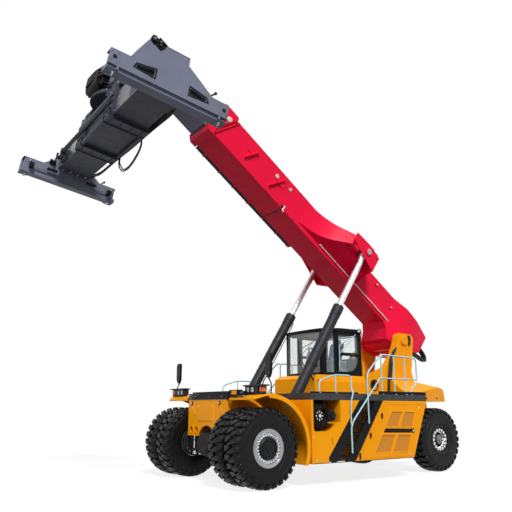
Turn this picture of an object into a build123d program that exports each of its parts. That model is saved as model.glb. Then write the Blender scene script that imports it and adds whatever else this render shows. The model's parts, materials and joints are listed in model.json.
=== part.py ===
from build123d import *
import math
import os

# Reach stacker: a rubber-tyred container handler with a telescopic boom and a top-lift spreader.
# Millimetres. The machine frame has its origin on the ground under the drive axle, +X to the
# machine's left, +Y to the rear and +Z up. At the end every node moves to the row frame, whose
# origin is the bottom centre of the whole machine's box.

# ---------------------------------------------------------------- driving dimensions
WHEELBASE = 6000
TYRE_R = 810
TYRE_W = 500
BEAD_R = 330
FRONT_TRACK = 1515          # centre of each twin pair
TWIN_OFFSET = 310           # from the pair's centre to each tyre's centre
REAR_TRACK = 1380
KINGPIN_X = 980
FRAME_HALF = 860            # half width of the front frame box
FRAME_LOW = 970
FRAME_TOP = 1780
DECK_TOP = 1930
BODY_X = 2040               # outer face of the side bodies
BODY_LOW = 450
PIVOT_Y, PIVOT_Z = 5700, 3460
BOOM_ANGLE = 36             # degrees above level, as parked
BOOM_HALF = 420
BOOM_LOW, BOOM_TOP = 257, 1119
BOOM_WALL = 30
BOOM_FRONT = 8130
BOOM_REAR = -1050
INNER_CLEAR = 30            # room between the two boom sections, filled by wear pads
TILT_PIN_S, TILT_PIN_T = BOOM_FRONT + 2066, -258
TILT_PIN_R = 70
SPREADER_PITCH = -8.6       # degrees, rear edge low
PIN_HEIGHT = 1940           # tilt pin above the spreader's underside
LIFT_FOOT_Y, LIFT_FOOT_Z = 1200, 1280
LIFT_PIN_S, LIFT_PIN_T = 2640, 900
LIFT_ROD_R = 82
LIFT_BORE_R = LIFT_ROD_R + 18
LIFT_BARREL_R = LIFT_BORE_R + 32
LIFT_NECK_R = LIFT_BORE_R + 12
LIFT_X = FRAME_HALF + LIFT_NECK_R + 13     # cylinders just clear of the frame's sides
LIFT_NECK = 700             # length of the slimmer foot end of the barrel
LIFT_BARREL_LENGTH = 3430
END_X = 3030                # outer face of the end beams, twenty-foot setting
END_HALF = 1270
LOCK_X, LOCK_Y = END_X - 103.5, 1129.5
BEAM_HALF, BEAM_LOW, BEAM_TOP = 400, 250, 830
CAB_HALF = 750
CAB_FRONT, CAB_REAR = 2700, 4050
CAB_FLOOR, CAB_EAVE = 2420, 3560
CAB_WALL = 45
PIN_GAP = 0.05              # radial running clearance of pins and rods
SLIDE_GAP = 0.5             # clearance of sliding beams on their pads
SEAT = 0.3                  # clearance of a seated piece

nodes = {}


# ---------------------------------------------------------------- helpers
def block(x0, x1, y0, y1, z0, z1):
    """Box between two corners."""
    return Pos((x0 + x1) / 2, (y0 + y1) / 2, (z0 + z1) / 2) * Box(x1 - x0, y1 - y0, z1 - z0)


def outline(points, radius=0):
    """Closed flat outline, with every corner rounded when a radius is given."""
    face = make_face(Polyline(*points, close=True))
    return fillet(face.vertices(), radius) if radius else face


def slab(face, z0, z1):
    """Outline in X and Y, raised from z0 to z1."""
    return Pos(0, 0, z0) * extrude(face, z1 - z0)


def side_slab(face, x0, x1):
    """Outline in Y and Z, extruded from x0 to x1."""
    return Pos(x0, 0, 0) * extrude(Plane.YZ * face, x1 - x0)


def front_slab(face, y0, y1):
    """Outline in X and Z, extruded from y0 to y1."""
    return Pos(0, y1, 0) * extrude(Plane.XZ * face, y1 - y0)


def disc_x(y, z, radius, x0, x1):
    """Cylinder along X."""
    return Pos((x0 + x1) / 2, y, z) * Rot(0, 90, 0) * Cylinder(radius, x1 - x0)


def disc_y(x, z, radius, y0, y1):
    """Cylinder along Y."""
    return Pos(x, (y0 + y1) / 2, z) * Rot(90, 0, 0) * Cylinder(radius, y1 - y0)


def disc_z(x, y, radius, z0, z1):
    """Cylinder along Z."""
    return Pos(x, y, (z0 + z1) / 2) * Cylinder(radius, z1 - z0)


def bar(start, end, radius):
    """Round bar between two points."""
    line = Vector(*end) - Vector(*start)
    plane = Plane(origin=Vector(*start), z_dir=line)
    return plane.location * Pos(0, 0, line.length / 2) * Cylinder(radius, line.length)


def rail(points, radius):
    """Round tube mitred at each point."""
    start = Vector(*points[0])
    section = Plane(origin=start, z_dir=Vector(*points[1]) - start) * Circle(radius)
    return sweep(section, path=Polyline(*points), transition=Transition.RIGHT)


def fuse(pieces):
    whole = pieces[0]
    for piece in pieces[1:]:
        whole = whole + piece
    return whole


def mirror_x(shape):
    return mirror(shape, about=Plane.YZ)


def both_sides(shape):
    """The piece and its mirror image, as one node of two solids."""
    return Compound(children=solids_of(shape) + solids_of(mirror_x(shape)))


def solids_of(shape):
    return list(shape.solids())


def ring_x(profile, centre_y, centre_z):
    """Turned part about an axle: profile in (x, radius)."""
    face = make_face(Polyline(*profile, close=True))
    turned = revolve(face, axis=Axis.X)
    return Pos(0, centre_y, centre_z) * turned


# ---------------------------------------------------------------- frames of the moving parts
angle = math.radians(BOOM_ANGLE)
boom_plane = Plane(
    origin=(0, PIVOT_Y, PIVOT_Z), x_dir=(0, -math.cos(angle), math.sin(angle)), z_dir=(-1, 0, 0)
)
boom_place = boom_plane.location    # local X runs to the boom's head, local Y is its upper side


def boom_point(s, t):
    """Machine Y and Z of a point of the boom's side view."""
    y = PIVOT_Y - s * math.cos(angle) + t * math.sin(angle)
    z = PIVOT_Z + s * math.sin(angle) + t * math.cos(angle)
    return y, z


tilt_y, tilt_z = boom_point(TILT_PIN_S, TILT_PIN_T)
pitch = math.radians(SPREADER_PITCH)
spreader_y = tilt_y + PIN_HEIGHT * math.sin(pitch)
spreader_z = tilt_z - PIN_HEIGHT * math.cos(pitch)
spreader_place = Location((0, spreader_y, spreader_z), (SPREADER_PITCH, 0, 0))

lift_y, lift_z = boom_point(LIFT_PIN_S, LIFT_PIN_T)
lift_length = math.hypot(lift_y - LIFT_FOOT_Y, lift_z - LIFT_FOOT_Z)
lift_plane = Plane(
    origin=(0, LIFT_FOOT_Y, LIFT_FOOT_Z),
    x_dir=(0, (lift_y - LIFT_FOOT_Y) / lift_length, (lift_z - LIFT_FOOT_Z) / lift_length),
    z_dir=(1, 0, 0),
)
lift_place = lift_plane.location    # local X runs from the foot pin to the rod's eye


# ---------------------------------------------------------------- wheels
def tyre(centre_x, y):
    """Tyre with rounded shoulders; its bore sits on the rim."""
    half = TYRE_W / 2
    bead = half - 35 - SEAT
    profile = Polyline(
        (-bead, BEAD_R), (-bead, BEAD_R + 60), (-half, 540), (-half, 660), (-half + 60, TYRE_R),
        (half - 60, TYRE_R), (half, 660), (half, 540), (bead, BEAD_R + 60), (bead, BEAD_R), close=True
    )
    return Pos(centre_x, y, TYRE_R) * revolve(make_face(profile), axis=Axis.X)


def front_rim(side):
    """Twin rim: two barrels on one disc, with the planetary hub in the middle."""
    inner, outer = FRONT_TRACK - TWIN_OFFSET - 215, FRONT_TRACK + TWIN_OFFSET + 215
    r = BEAD_R - SEAT
    profile = [
        (inner, r - 22), (inner, r), (outer, r), (outer, r + 45), (outer + 28, r + 45),
        (outer + 10, r - 22), (outer - 110, r - 30), (outer - 130, 245), (outer + 20, 225),
        (outer + 45, 190), (outer + 45, 0), (outer - 180, 0), (outer - 180, 110 + PIN_GAP),
        (1420, 110 + PIN_GAP), (1420, 230), (outer - 190, 240), (outer - 190, r - 30),
    ]
    shape = ring_x(profile, 0, TYRE_R)
    return shape if side > 0 else mirror_x(shape)


def rear_rim(side):
    """Single rim with a deep dish and a hub cap."""
    inner, outer = REAR_TRACK - 215, REAR_TRACK + 215
    r = BEAD_R - SEAT
    profile = [
        (inner - 25, r + 40), (inner, r + 40), (inner, r), (outer, r), (outer, r + 45),
        (outer + 28, r + 45), (outer + 5, r - 25), (outer - 150, r - 40), (outer - 170, 160),
        (outer - 60, 150), (outer - 30, 120), (outer - 30, 0), (outer - 90, 0), (outer - 90, 90 + PIN_GAP),
        (inner + 40, 90 + PIN_GAP), (inner + 40, 150), (outer - 210, 165), (outer - 210, r - 40),
        (inner - 25, r - 15),
    ]
    shape = ring_x(profile, WHEELBASE, TYRE_R)
    return shape if side > 0 else mirror_x(shape)


for name, side in (("left", 1), ("right", -1)):
    twin = [tyre(side * (FRONT_TRACK + o), 0) for o in (-TWIN_OFFSET, TWIN_OFFSET)]
    nodes[f"front_tyres_{name}"] = Compound(children=[s for t in twin for s in solids_of(t)])
    nodes[f"front_rim_{name}"] = front_rim(side)
    nodes[f"rear_tyre_{name}"] = tyre(side * REAR_TRACK, WHEELBASE)
    nodes[f"rear_rim_{name}"] = rear_rim(side)

# ---------------------------------------------------------------- axles and knuckles
AXLE_R = 180
housing = disc_x(0, TYRE_R, AXLE_R, -880, 880)
housing += ring_x([(-340, 0), (-300, 180), (-160, 310), (160, 310), (300, 180), (340, 0)], 0, TYRE_R)
for side in (-1, 1):
    ends = sorted((side * 880, side * 948))
    housing += disc_x(0, TYRE_R, 290, *ends)
    stub = sorted((side * 948, side * 1850))
    housing += disc_x(0, TYRE_R, 110, *stub)
nodes["drive_axle"] = housing

KNUCKLE_HALF = 190
EAR = 60
beam_end = KINGPIN_X - 150
steer = block(-600, 600, WHEELBASE - 150, WHEELBASE + 150, TYRE_R - 130, TYRE_R + 130)
steer += block(-beam_end, beam_end, WHEELBASE - 95, WHEELBASE + 95, TYRE_R - 130, TYRE_R + 130)
for side in (-1, 1):
    for low in (TYRE_R - KNUCKLE_HALF - EAR, TYRE_R + KNUCKLE_HALF):
        x_in, x_out = sorted((side * (beam_end - 220), side * KINGPIN_X))
        steer += block(x_in, x_out, WHEELBASE - 120, WHEELBASE + 120, low, low + EAR)
        steer += disc_z(side * KINGPIN_X, WHEELBASE, 120, low, low + EAR)
    web = sorted((side * (beam_end - 220), side * beam_end))
    steer += block(*web, WHEELBASE - 95, WHEELBASE + 95, TYRE_R - KNUCKLE_HALF - EAR,
                   TYRE_R + KNUCKLE_HALF + EAR)
    steer += disc_z(side * KINGPIN_X, WHEELBASE, 50, TYRE_R - KNUCKLE_HALF - EAR - 12,
                    TYRE_R + KNUCKLE_HALF + EAR + 12)
AXLE_PIVOT_Z = 1030
steer += disc_y(0, AXLE_PIVOT_Z, 105, WHEELBASE - 150, WHEELBASE + 150)
steer += block(-105, 105, WHEELBASE - 150, WHEELBASE + 150, TYRE_R + 130, AXLE_PIVOT_Z)
steer += disc_y(0, AXLE_PIVOT_Z, 60, WHEELBASE - 225, WHEELBASE + 225)
nodes["steer_axle"] = steer

for name, side in (("left", 1), ("right", -1)):
    reach = sorted((side * KINGPIN_X, side * (REAR_TRACK + 80)))
    arm = disc_z(side * KINGPIN_X, WHEELBASE, 105, TYRE_R - KNUCKLE_HALF + 5, TYRE_R + KNUCKLE_HALF - 5)
    arm += disc_x(WHEELBASE, TYRE_R, 90, *reach)
    arm += disc_x(WHEELBASE, TYRE_R, 140, *sorted((side * KINGPIN_X, side * (KINGPIN_X + 165))))
    lever = outline([(-45, 0), (45, 0), (35, 290), (-35, 290)])
    arm += Pos(side * (KINGPIN_X + 45), WHEELBASE + 70, TYRE_R - 60) * extrude(lever, 50)
    arm -= disc_z(side * KINGPIN_X, WHEELBASE, 50 + PIN_GAP, TYRE_R - 300, TYRE_R + 300)
    nodes[f"steer_knuckle_{name}"] = arm

# ---------------------------------------------------------------- chassis
FRONT_FACE = -240
front_box = fuse([
    block(FRAME_HALF - 60, FRAME_HALF, FRONT_FACE + 40, 1900, FRAME_LOW, FRAME_TOP),
    block(-FRAME_HALF, -FRAME_HALF + 60, FRONT_FACE + 40, 1900, FRAME_LOW, FRAME_TOP),
    block(-FRAME_HALF, FRAME_HALF, 1840, 1900, FRAME_LOW, FRAME_TOP),
    block(-FRAME_HALF, FRAME_HALF, 700, 760, 1250, FRAME_TOP),
])
rear_beam = outline([
    (1900, 900), (4950, 900), (5250, 1160), (6300, 1160), (6300, FRAME_TOP), (1900, FRAME_TOP)
])
chassis = front_box + side_slab(rear_beam, 280, 420) + side_slab(rear_beam, -420, -280)
for y in (2500, 3400, 4500):
    chassis += block(-285, 285, y, y + 120, 800, 900)
    chassis += block(-420, -280, y, y + 120, 800, 910)
    chassis += block(280, 420, y, y + 120, 800, 910)
chassis += block(-285, 285, 6200, 6300, 1160, FRAME_TOP)
for y0, y1 in ((WHEELBASE - 225, WHEELBASE - 150 - SEAT), (WHEELBASE + 150 + SEAT, WHEELBASE + 225)):
    chassis += block(-285, 285, y0, y1, 1160, 1300)
    chassis += block(-150, 150, y0, y1, AXLE_PIVOT_Z - 120, 1170)
chassis -= disc_y(0, AXLE_PIVOT_Z, 60 + SEAT, WHEELBASE - 400, WHEELBASE + 400)
chassis -= disc_x(0, TYRE_R, AXLE_R + SEAT, -900, 900)
# side boxes that tie the side bodies to the beams
for y in (2350, 4250):
    for side in (-1, 1):
        reach = sorted((side * 415, side * 1180))
        chassis += block(*reach, y, y + 200, 1000, 1500)
# feet of the lift cylinders
FOOT_IN, FOOT_OUT = LIFT_X - LIFT_NECK_R - 5, LIFT_X + LIFT_NECK_R + 5
for side in (-1, 1):
    chassis += disc_x(LIFT_FOOT_Y, LIFT_FOOT_Z, 130, *sorted((side * FRAME_HALF, side * FOOT_IN)))
    chassis += disc_x(LIFT_FOOT_Y, LIFT_FOOT_Z, 55, *sorted((side * FOOT_IN, side * (FOOT_OUT + 40))))
    ear = outline([(1110, 1190), (1200, 1140), (1720, 1000), (1720, 1330), (1290, 1400), (1130, 1380)])
    chassis += side_slab(ear, *sorted((side * FOOT_OUT, side * (FOOT_OUT + 34))))
    chassis += block(*sorted((side * FRAME_HALF, side * (FOOT_OUT + 10))), 1500, 1720, 1000, 1300)
nodes["chassis_frame"] = chassis

plate = outline([
    (-FRAME_HALF, FRAME_LOW), (FRAME_HALF, FRAME_LOW), (FRAME_HALF, FRAME_TOP), (-FRAME_HALF, FRAME_TOP)
])
front_plate = front_slab(plate, FRONT_FACE, FRONT_FACE + 40)
front_plate -= disc_y(0, TYRE_R, 400, FRONT_FACE - 50, FRONT_FACE + 100)
TIE_HOLE_R = 65
TIE_HOLES = (-690, -450, 450, 690)
for x in TIE_HOLES:
    front_plate += disc_y(x, 1110, TIE_HOLE_R + 25, FRONT_FACE - 8, FRONT_FACE + 5)
    front_plate -= disc_y(x, 1110, TIE_HOLE_R, FRONT_FACE - 50, FRONT_FACE + 100)
hatch = outline([(-370, 1320), (290, 1320), (290, 1660), (-370, 1660)], 30)
front_plate += front_slab(hatch, FRONT_FACE - 12, FRONT_FACE)
nodes["front_plate"] = front_plate

counterweight = block(-420, 420, 6300, 6980, 1000, 1789)
counterweight = fillet(counterweight.edges().filter_by(Axis.X).group_by(Axis.Z)[0], 90)
TOW_Z = 1250
counterweight -= block(-110, 110, 6880, 7000, TOW_Z - 60, TOW_Z + 60)
TOW_R = 30
counterweight -= disc_z(0, 6935, TOW_R, 990, TOW_Z + 150)
nodes["counterweight"] = counterweight

nodes["engine_block"] = block(-265, 265, 3300, 4700, 900, 1700)

# ---------------------------------------------------------------- fenders
FENDER_R = 1050
fender_top = outline([
    (-240, 1765), (-240, 1805), (-90, 1875), (60, 1894), (60, 1850), (-90, 1840)
])
arc_band = Circle(FENDER_R + 36) - Circle(FENDER_R)
keep = Polyline((0, 0), (0, 1300), (1300, 1300), (1300, -372), (0, -372), close=True)
band = Pos(0, TYRE_R) * (arc_band & make_face(keep))
fender = side_slab(band, 930, 2100) + side_slab(fender_top, 930, 2100)
lip = Pos(0, TYRE_R) * ((Circle(FENDER_R + 36) - Circle(FENDER_R - 55)) & make_face(keep))
fender += side_slab(lip, 2075, 2100)
fender += block(FRAME_HALF + SEAT, 935, -180, 100, 1700, 1850)
fender -= slab(outline([(1850, -260), (2110, -260), (2110, -60)]), 1700, 1950)
nodes["front_fenders"] = both_sides(fender)

# ---------------------------------------------------------------- deck
deck = block(-FRAME_HALF, FRAME_HALF, FRONT_FACE, 5000, FRAME_TOP, DECK_TOP)
deck -= block(-560, 560, 300, 2000, FRAME_TOP - 10, DECK_TOP - 40)
for side in (-1, 1):
    walk = block(*sorted((side * (FRAME_HALF - 5), side * (BODY_X - 10))), 1160, 5000, FRAME_TOP, DECK_TOP)
    deck += walk
    deck -= block(*sorted((side * 825, side * 1178)), 1100, 2080, FRAME_TOP - 10, DECK_TOP + 10)
nodes["deck"] = deck

# ---------------------------------------------------------------- side bodies
GRILLE = [(3060, 610), (4200, 590), (4530, 1520), (3690, 1540)]


def grille_point(u, v):
    """Point of the slanted grille field, from its lower front corner."""
    (ax, ay), (bx, by), (cx, cy), (dx, dy) = GRILLE
    low = (ax + (bx - ax) * u, ay + (by - ay) * u)
    high = (dx + (cx - dx) * u, dy + (cy - dy) * u)
    return low[0] + (high[0] - low[0]) * v, low[1] + (high[1] - low[1]) * v


def side_body(side, hydraulic_bay):
    face = outline([
        (1160, BODY_LOW), (4400, BODY_LOW), (4990, FRAME_TOP - SEAT), (1160, FRAME_TOP - SEAT)
    ])
    body = side_slab(face, 1180 + SEAT, BODY_X)
    steps = outline([(1640, 440), (2450, 440), (3430, 1800), (2640, 1800), (1640, 560)])
    body -= side_slab(steps, BODY_X - 230, BODY_X + 10)
    for u0, u1 in ((0.0, 0.47), (0.53, 1.0)):
        for v0, v1 in ((0.0, 0.43), (0.62, 1.0)):
            corners = [grille_point(u0, v0), grille_point(u1, v0), grille_point(u1, v1), grille_point(u0, v1)]
            body -= side_slab(outline(corners, 20), BODY_X - 30, BODY_X + 10)
    door = [(2520, 480), (4350, 480), (4900, 1700), (3590, 1700)]
    groove = outline(door, 25) - Pos(0, 0) * outline([(2560, 495), (4338, 495), (4875, 1685), (3600, 1685)], 20)
    body -= side_slab(groove, BODY_X - 8, BODY_X + 10)
    if hydraulic_bay:
        bay = outline([(1250, 1110), (1790, 1110), (2020, 1300), (2020, 1800), (1220, 1800), (1220, 1200)])
        body -= side_slab(bay, 1480, BODY_X + 10)
    return body if side > 0 else mirror_x(body)


nodes["side_body_left"] = side_body(1, True)
nodes["side_body_right"] = side_body(-1, False)

unit = block(1480 + SEAT, 1760, 1300, 1850, 1180, 1600)
unit += disc_x(1800, 1440, 120, 1700, 1990)
unit += disc_x(1800, 1440, 60, 1990, 2025)
unit += block(1600, 1900, 1320, 1560, 1300, 1700)
for y, z in ((1330, 1180), (1620, 1170)):
    unit += disc_z(1800, y, 50, 1110 + SEAT, z + 160)
unit += block(1700, 1830, 1280, 1700, 1160, 1240)
nodes["hydraulic_unit"] = unit

# ---------------------------------------------------------------- ladders
def ladder():
    front = outline([(1655, 560), (1740, 455), (1920, 480), (2870, FRAME_TOP - SEAT), (2650, FRAME_TOP - SEAT)])
    rear = outline([(2140, 455), (2400, 455), (3380, FRAME_TOP - SEAT), (3130, FRAME_TOP - SEAT)])
    stringers = side_slab(front, BODY_X - 40, BODY_X + 22) + side_slab(rear, BODY_X - 40, BODY_X + 22)
    steps = []
    for z in (520, 770, 1020, 1270, 1520):
        y = 1800 + (z - 520) * 0.78
        steps.append(block(BODY_X - 229, BODY_X + 10, y, y + 560, z, z + 40))
    return fuse([stringers] + steps)


nodes["ladders"] = both_sides(ladder())

# ---------------------------------------------------------------- handrails
RAIL_R = 19
POST_R = 16
RAIL_X = BODY_X - 40
FOOT = DECK_TOP


def post(x, y, top):
    """Upright that ends inside the rail above it."""
    return bar((x, y, FOOT), (x, y, top), POST_R)


low_rail = rail([
    (RAIL_X, 1440, FOOT), (RAIL_X, 1440, 2200), (RAIL_X, 1900, 2335), (RAIL_X, 2420, 2335),
    (RAIL_X, 2420, FOOT)
], RAIL_R) + post(RAIL_X, 1930, 2335)
high_rail = rail([
    (RAIL_X, 3440, FOOT), (RAIL_X, 3440, 2880), (RAIL_X, 4720, 2840), (RAIL_X, 4720, 2240),
    (RAIL_X, 4480, 2060), (RAIL_X, 4480, FOOT)
], RAIL_R)
high_rail += post(RAIL_X, 3890, 2866) + post(RAIL_X, 4280, 2854)
high_rail += bar((RAIL_X, 3440, 2310), (RAIL_X, 4720, 2310), POST_R)
CLIMB_X = BODY_X + 42
climb_front = rail([
    (CLIMB_X, 2310, 640), (CLIMB_X, 2300, 1250), (CLIMB_X, 3300, 2300), (RAIL_X, 3440, 2310)
], RAIL_R)
climb_rear = rail([
    (CLIMB_X, 2870, 1270), (CLIMB_X, 2860, 2400), (CLIMB_X, 3380, 2870), (RAIL_X, 3440, 2875)
], RAIL_R)
climb_link = rail([
    (CLIMB_X, 2301, 1240), (CLIMB_X, 2315, 1740), (CLIMB_X, 2400, 1950), (RAIL_X, 2420, 2040)
], POST_R)
stubs = bar((BODY_X + 22 + SEAT, 2308, 670), (CLIMB_X, 2308, 670), POST_R)
stubs += bar((BODY_X + 22 + SEAT, 2869, 1310), (CLIMB_X, 2869, 1310), POST_R)
rails = solids_of(low_rail + high_rail + climb_front + climb_rear + climb_link + stubs)
nodes["handrails"] = Compound(children=[s for r in rails for s in (r, mirror_x(r))])

# ---------------------------------------------------------------- rear hood
hood_side = outline([(5005, 1790), (7060, 1790), (7000, 2110), (6900, 2150), (5800, 2340), (5005, 2340)])
hood_plan = outline([(-1300, 5005), (1300, 5005), (1300, 5750), (1020, 7060), (-1020, 7060), (-1300, 5750)])
hood_front = outline([(-1300, 1790), (1300, 1790), (1300, 2040), (900, 2340), (-900, 2340), (-1300, 2040)])
hood = side_slab(hood_side, -1300, 1300) & slab(hood_plan, 1700, 2400) & front_slab(hood_front, 5000, 7100)
FLARE = BOOM_HALF + 140     # half width of the boom's rear end at its pivot
BRACKET_IN, BRACKET_OUT = FLARE + 60, FLARE + 240
for side in (-1, 1):
    hood -= block(*sorted((side * (BRACKET_IN - SEAT), side * (BRACKET_OUT + SEAT))), 4900, 6345, 1929, 2500)
hood -= block(-560, 560, 5000, 6500, 2180, 2500)
nodes["rear_hood"] = hood

# ---------------------------------------------------------------- boom brackets and pivot pin
PIVOT_R = 90
bracket_side = outline([
    (4180, DECK_TOP), (6340, DECK_TOP), (6340, 1980), (6080, 2240), (5960, 2600), (6080, 3300),
    (6110, 3560), (6010, 3660), (5560, 3670), (5470, 3610), (5400, 3380), (5250, 3080),
    (4900, 2690), (4500, 2540), (4180, 2480)
])
bracket = side_slab(bracket_side, BRACKET_IN, BRACKET_OUT)
bracket -= disc_x(4440, 2200, 130, BRACKET_IN - 10, BRACKET_OUT + 10)
bracket -= disc_x(PIVOT_Y, PIVOT_Z, PIVOT_R + PIN_GAP, BRACKET_IN - 10, BRACKET_OUT + 10)
bracket += disc_x(PIVOT_Y, PIVOT_Z, PIVOT_R + 60, BRACKET_OUT, BRACKET_OUT + 20) - disc_x(
    PIVOT_Y, PIVOT_Z, PIVOT_R + PIN_GAP, BRACKET_OUT - 5, BRACKET_OUT + 30)
nodes["boom_brackets"] = both_sides(bracket)
pin = disc_x(PIVOT_Y, PIVOT_Z, PIVOT_R, -BRACKET_OUT - 30, BRACKET_OUT + 30)
for side in (-1, 1):
    pin += disc_x(PIVOT_Y, PIVOT_Z, PIVOT_R + 25, *sorted((side * (BRACKET_OUT + 20 + SEAT), side * (BRACKET_OUT + 45))))
nodes["boom_pivot_pin"] = pin

# ---------------------------------------------------------------- cab
def cab_plan(half, front, bulge, rear):
    """Plan of the cab with its windscreen bowed forward."""
    bow = ThreePointArc((-half, front), (0, front - bulge), (half, front))
    sides = Polyline((half, front), (half, rear), (-half, rear), (-half, front))
    return make_face(bow + sides)


CAB_BOW = 150
HINGE_X, HINGE_Y = CAB_HALF + 18, 3992
HINGE_Z = (2900, 3400)
DOOR_FRONT, DOOR_REAR = 3160, 3990
DOOR_LOW, DOOR_HIGH = CAB_FLOOR + 30, CAB_EAVE - 30
GLASS_LOW, GLASS_HIGH = CAB_FLOOR + 60, CAB_EAVE - 50


def door_outline(inset):
    """Side door outline in Y and Z, with its lower rear corner swept up."""
    y0, y1, z0, z1 = DOOR_FRONT + inset, DOOR_REAR - inset, DOOR_LOW + inset, DOOR_HIGH - inset
    return make_face(
        Line((y1 - 360, z0), (y0, z0)) + Line((y0, z0), (y0, z1)) + Line((y0, z1), (y1, z1))
        + Line((y1, z1), (y1, z0 + 360))
        + ThreePointArc((y1, z0 + 360), (y1 - 105, z0 + 105), (y1 - 360, z0))
    )


outer_plan = cab_plan(CAB_HALF, CAB_FRONT, CAB_BOW, CAB_REAR)
inner_plan = cab_plan(CAB_HALF - CAB_WALL, CAB_FRONT + 50, CAB_BOW, CAB_REAR - CAB_WALL)
cab = slab(outer_plan, CAB_FLOOR, CAB_EAVE) - slab(inner_plan, CAB_FLOOR + 40, CAB_EAVE + 10)
cab -= block(-660, 660, 2400, 2790, GLASS_LOW, GLASS_HIGH)
cab -= block(-800, 800, 2800, 3080, GLASS_LOW, GLASS_HIGH)
cab -= block(-560, 560, 3950, 4100, 2900, GLASS_HIGH)
cab -= side_slab(door_outline(0), -800, 800)
for side in (-1, 1):
    for z in HINGE_Z:
        ear = block(*sorted((side * (CAB_HALF - 6), side * HINGE_X)), HINGE_Y, HINGE_Y + 40, z - 30, z - SEAT)
        cab += ear + disc_z(side * HINGE_X, HINGE_Y, 14, z - 30, z - SEAT)
nodes["cab_frame"] = cab

roof_plan = cab_plan(CAB_HALF + 15, CAB_FRONT - 25, CAB_BOW, CAB_REAR + 15)
roof_side = outline([(2500, CAB_EAVE + SEAT), (4100, CAB_EAVE + SEAT), (4100, 3625), (3900, 3645),
                     (3300, 3640), (2600, 3590), (2500, 3575)])
nodes["cab_roof"] = slab(roof_plan, CAB_EAVE, 3700) & side_slab(roof_side, -900, 900)

PANE = 8
screen = cab_plan(CAB_HALF, CAB_FRONT + 14, CAB_BOW, CAB_REAR) - cab_plan(
    CAB_HALF, CAB_FRONT + 14 + PANE, CAB_BOW, CAB_REAR + PANE)
panes = slab(screen, GLASS_LOW + SEAT, GLASS_HIGH - SEAT) & block(-660 + SEAT, 660 - SEAT, 2400, 2780, 0, 4000)
side_pane = block(CAB_HALF - 26, CAB_HALF - 26 + PANE, 2800 + SEAT, 3080 - SEAT, GLASS_LOW + SEAT,
                  GLASS_HIGH - SEAT)
rear_pane = block(-560 + SEAT, 560 - SEAT, CAB_REAR - 26, CAB_REAR - 26 + PANE, 2900 + SEAT, GLASS_HIGH - SEAT)
nodes["cab_glass"] = Compound(
    children=solids_of(panes) + solids_of(side_pane) + solids_of(mirror_x(side_pane)) + solids_of(rear_pane)
)

DOOR_GAP = 6
for name, side in (("left", 1), ("right", -1)):
    door = side_slab(door_outline(DOOR_GAP), CAB_HALF - CAB_WALL, CAB_HALF)
    upper = outline([(3230, 3010), (3925, 3010), (3925, 3465), (3230, 3465)], 25)
    lower = door_outline(70) & outline([(3100, 2000), (4100, 2000), (4100, 2935), (3100, 2935)])
    door -= side_slab(upper, 600, 800) + side_slab(lower, 600, 800)
    for z in HINGE_Z:
        door += disc_z(HINGE_X, HINGE_Y, 14, z, z + 60)
        door += block(CAB_HALF - 6, HINGE_X, HINGE_Y - 70, DOOR_REAR - DOOR_GAP - 1, z + 5, z + 55)
        door += block(CAB_HALF + 4, HINGE_X, DOOR_REAR - 40, HINGE_Y, z + 5, z + 55)
    glass_x = (CAB_HALF - 26, CAB_HALF - 26 + PANE)
    upper_pane = side_slab(offset(upper, -SEAT), *glass_x)
    lower_pane = side_slab(offset(lower, -SEAT), *glass_x)
    panes = Compound(children=solids_of(upper_pane) + solids_of(lower_pane))
    nodes[f"cab_door_{name}"] = door if side > 0 else mirror_x(door)
    nodes[f"door_glass_{name}"] = panes if side > 0 else mirror_x(panes)

base_side = outline([
    (2340, DECK_TOP), (4120, DECK_TOP), (4120, CAB_FLOOR + 380), (4060, CAB_FLOOR + 380),
    (4060, CAB_FLOOR), (2480, CAB_FLOOR), (2340, 2330)
])
base_front = outline([
    (-815, DECK_TOP), (815, DECK_TOP), (815, 2250), (770, CAB_FLOOR), (770, 2900), (-770, 2900),
    (-770, CAB_FLOOR), (-815, 2250)
])
nodes["cab_base"] = side_slab(base_side, -820, 820) & front_slab(base_front, 2300, 4200)

seat_side = outline([
    (3300, 2700), (3800, 2660), (3960, 3320), (3900, 3400), (3820, 3390), (3700, 2830), (3320, 2850)
], 30)
seat = side_slab(seat_side, -250, 250)
seat += block(-170, 170, 3400, 3720, CAB_FLOOR + 40, 2720)
for side in (-1, 1):
    seat += block(*sorted((side * 255, side * 330)), 3300, 3720, 2860, 2930)
    seat += block(*sorted((side * 240, side * 290)), 3560, 3640, 2720, 2880)
nodes["operator_seat"] = seat

console = outline([(2800, CAB_FLOOR + 40), (2980, CAB_FLOOR + 40), (3060, 3000), (2940, 3060)])
dash = side_slab(console, -150, 150)
wheel_axis = Plane(origin=(0, 3075, 3060), z_dir=(0, 0.5, 0.866))
dash += wheel_axis.location * (Cylinder(195, 26) - Cylinder(165, 40))
dash += wheel_axis.location * Box(360, 30, 14)
dash += bar((0, 3020, 2965), (0, 3075, 3060), 25)
nodes["steering_console"] = dash

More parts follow.
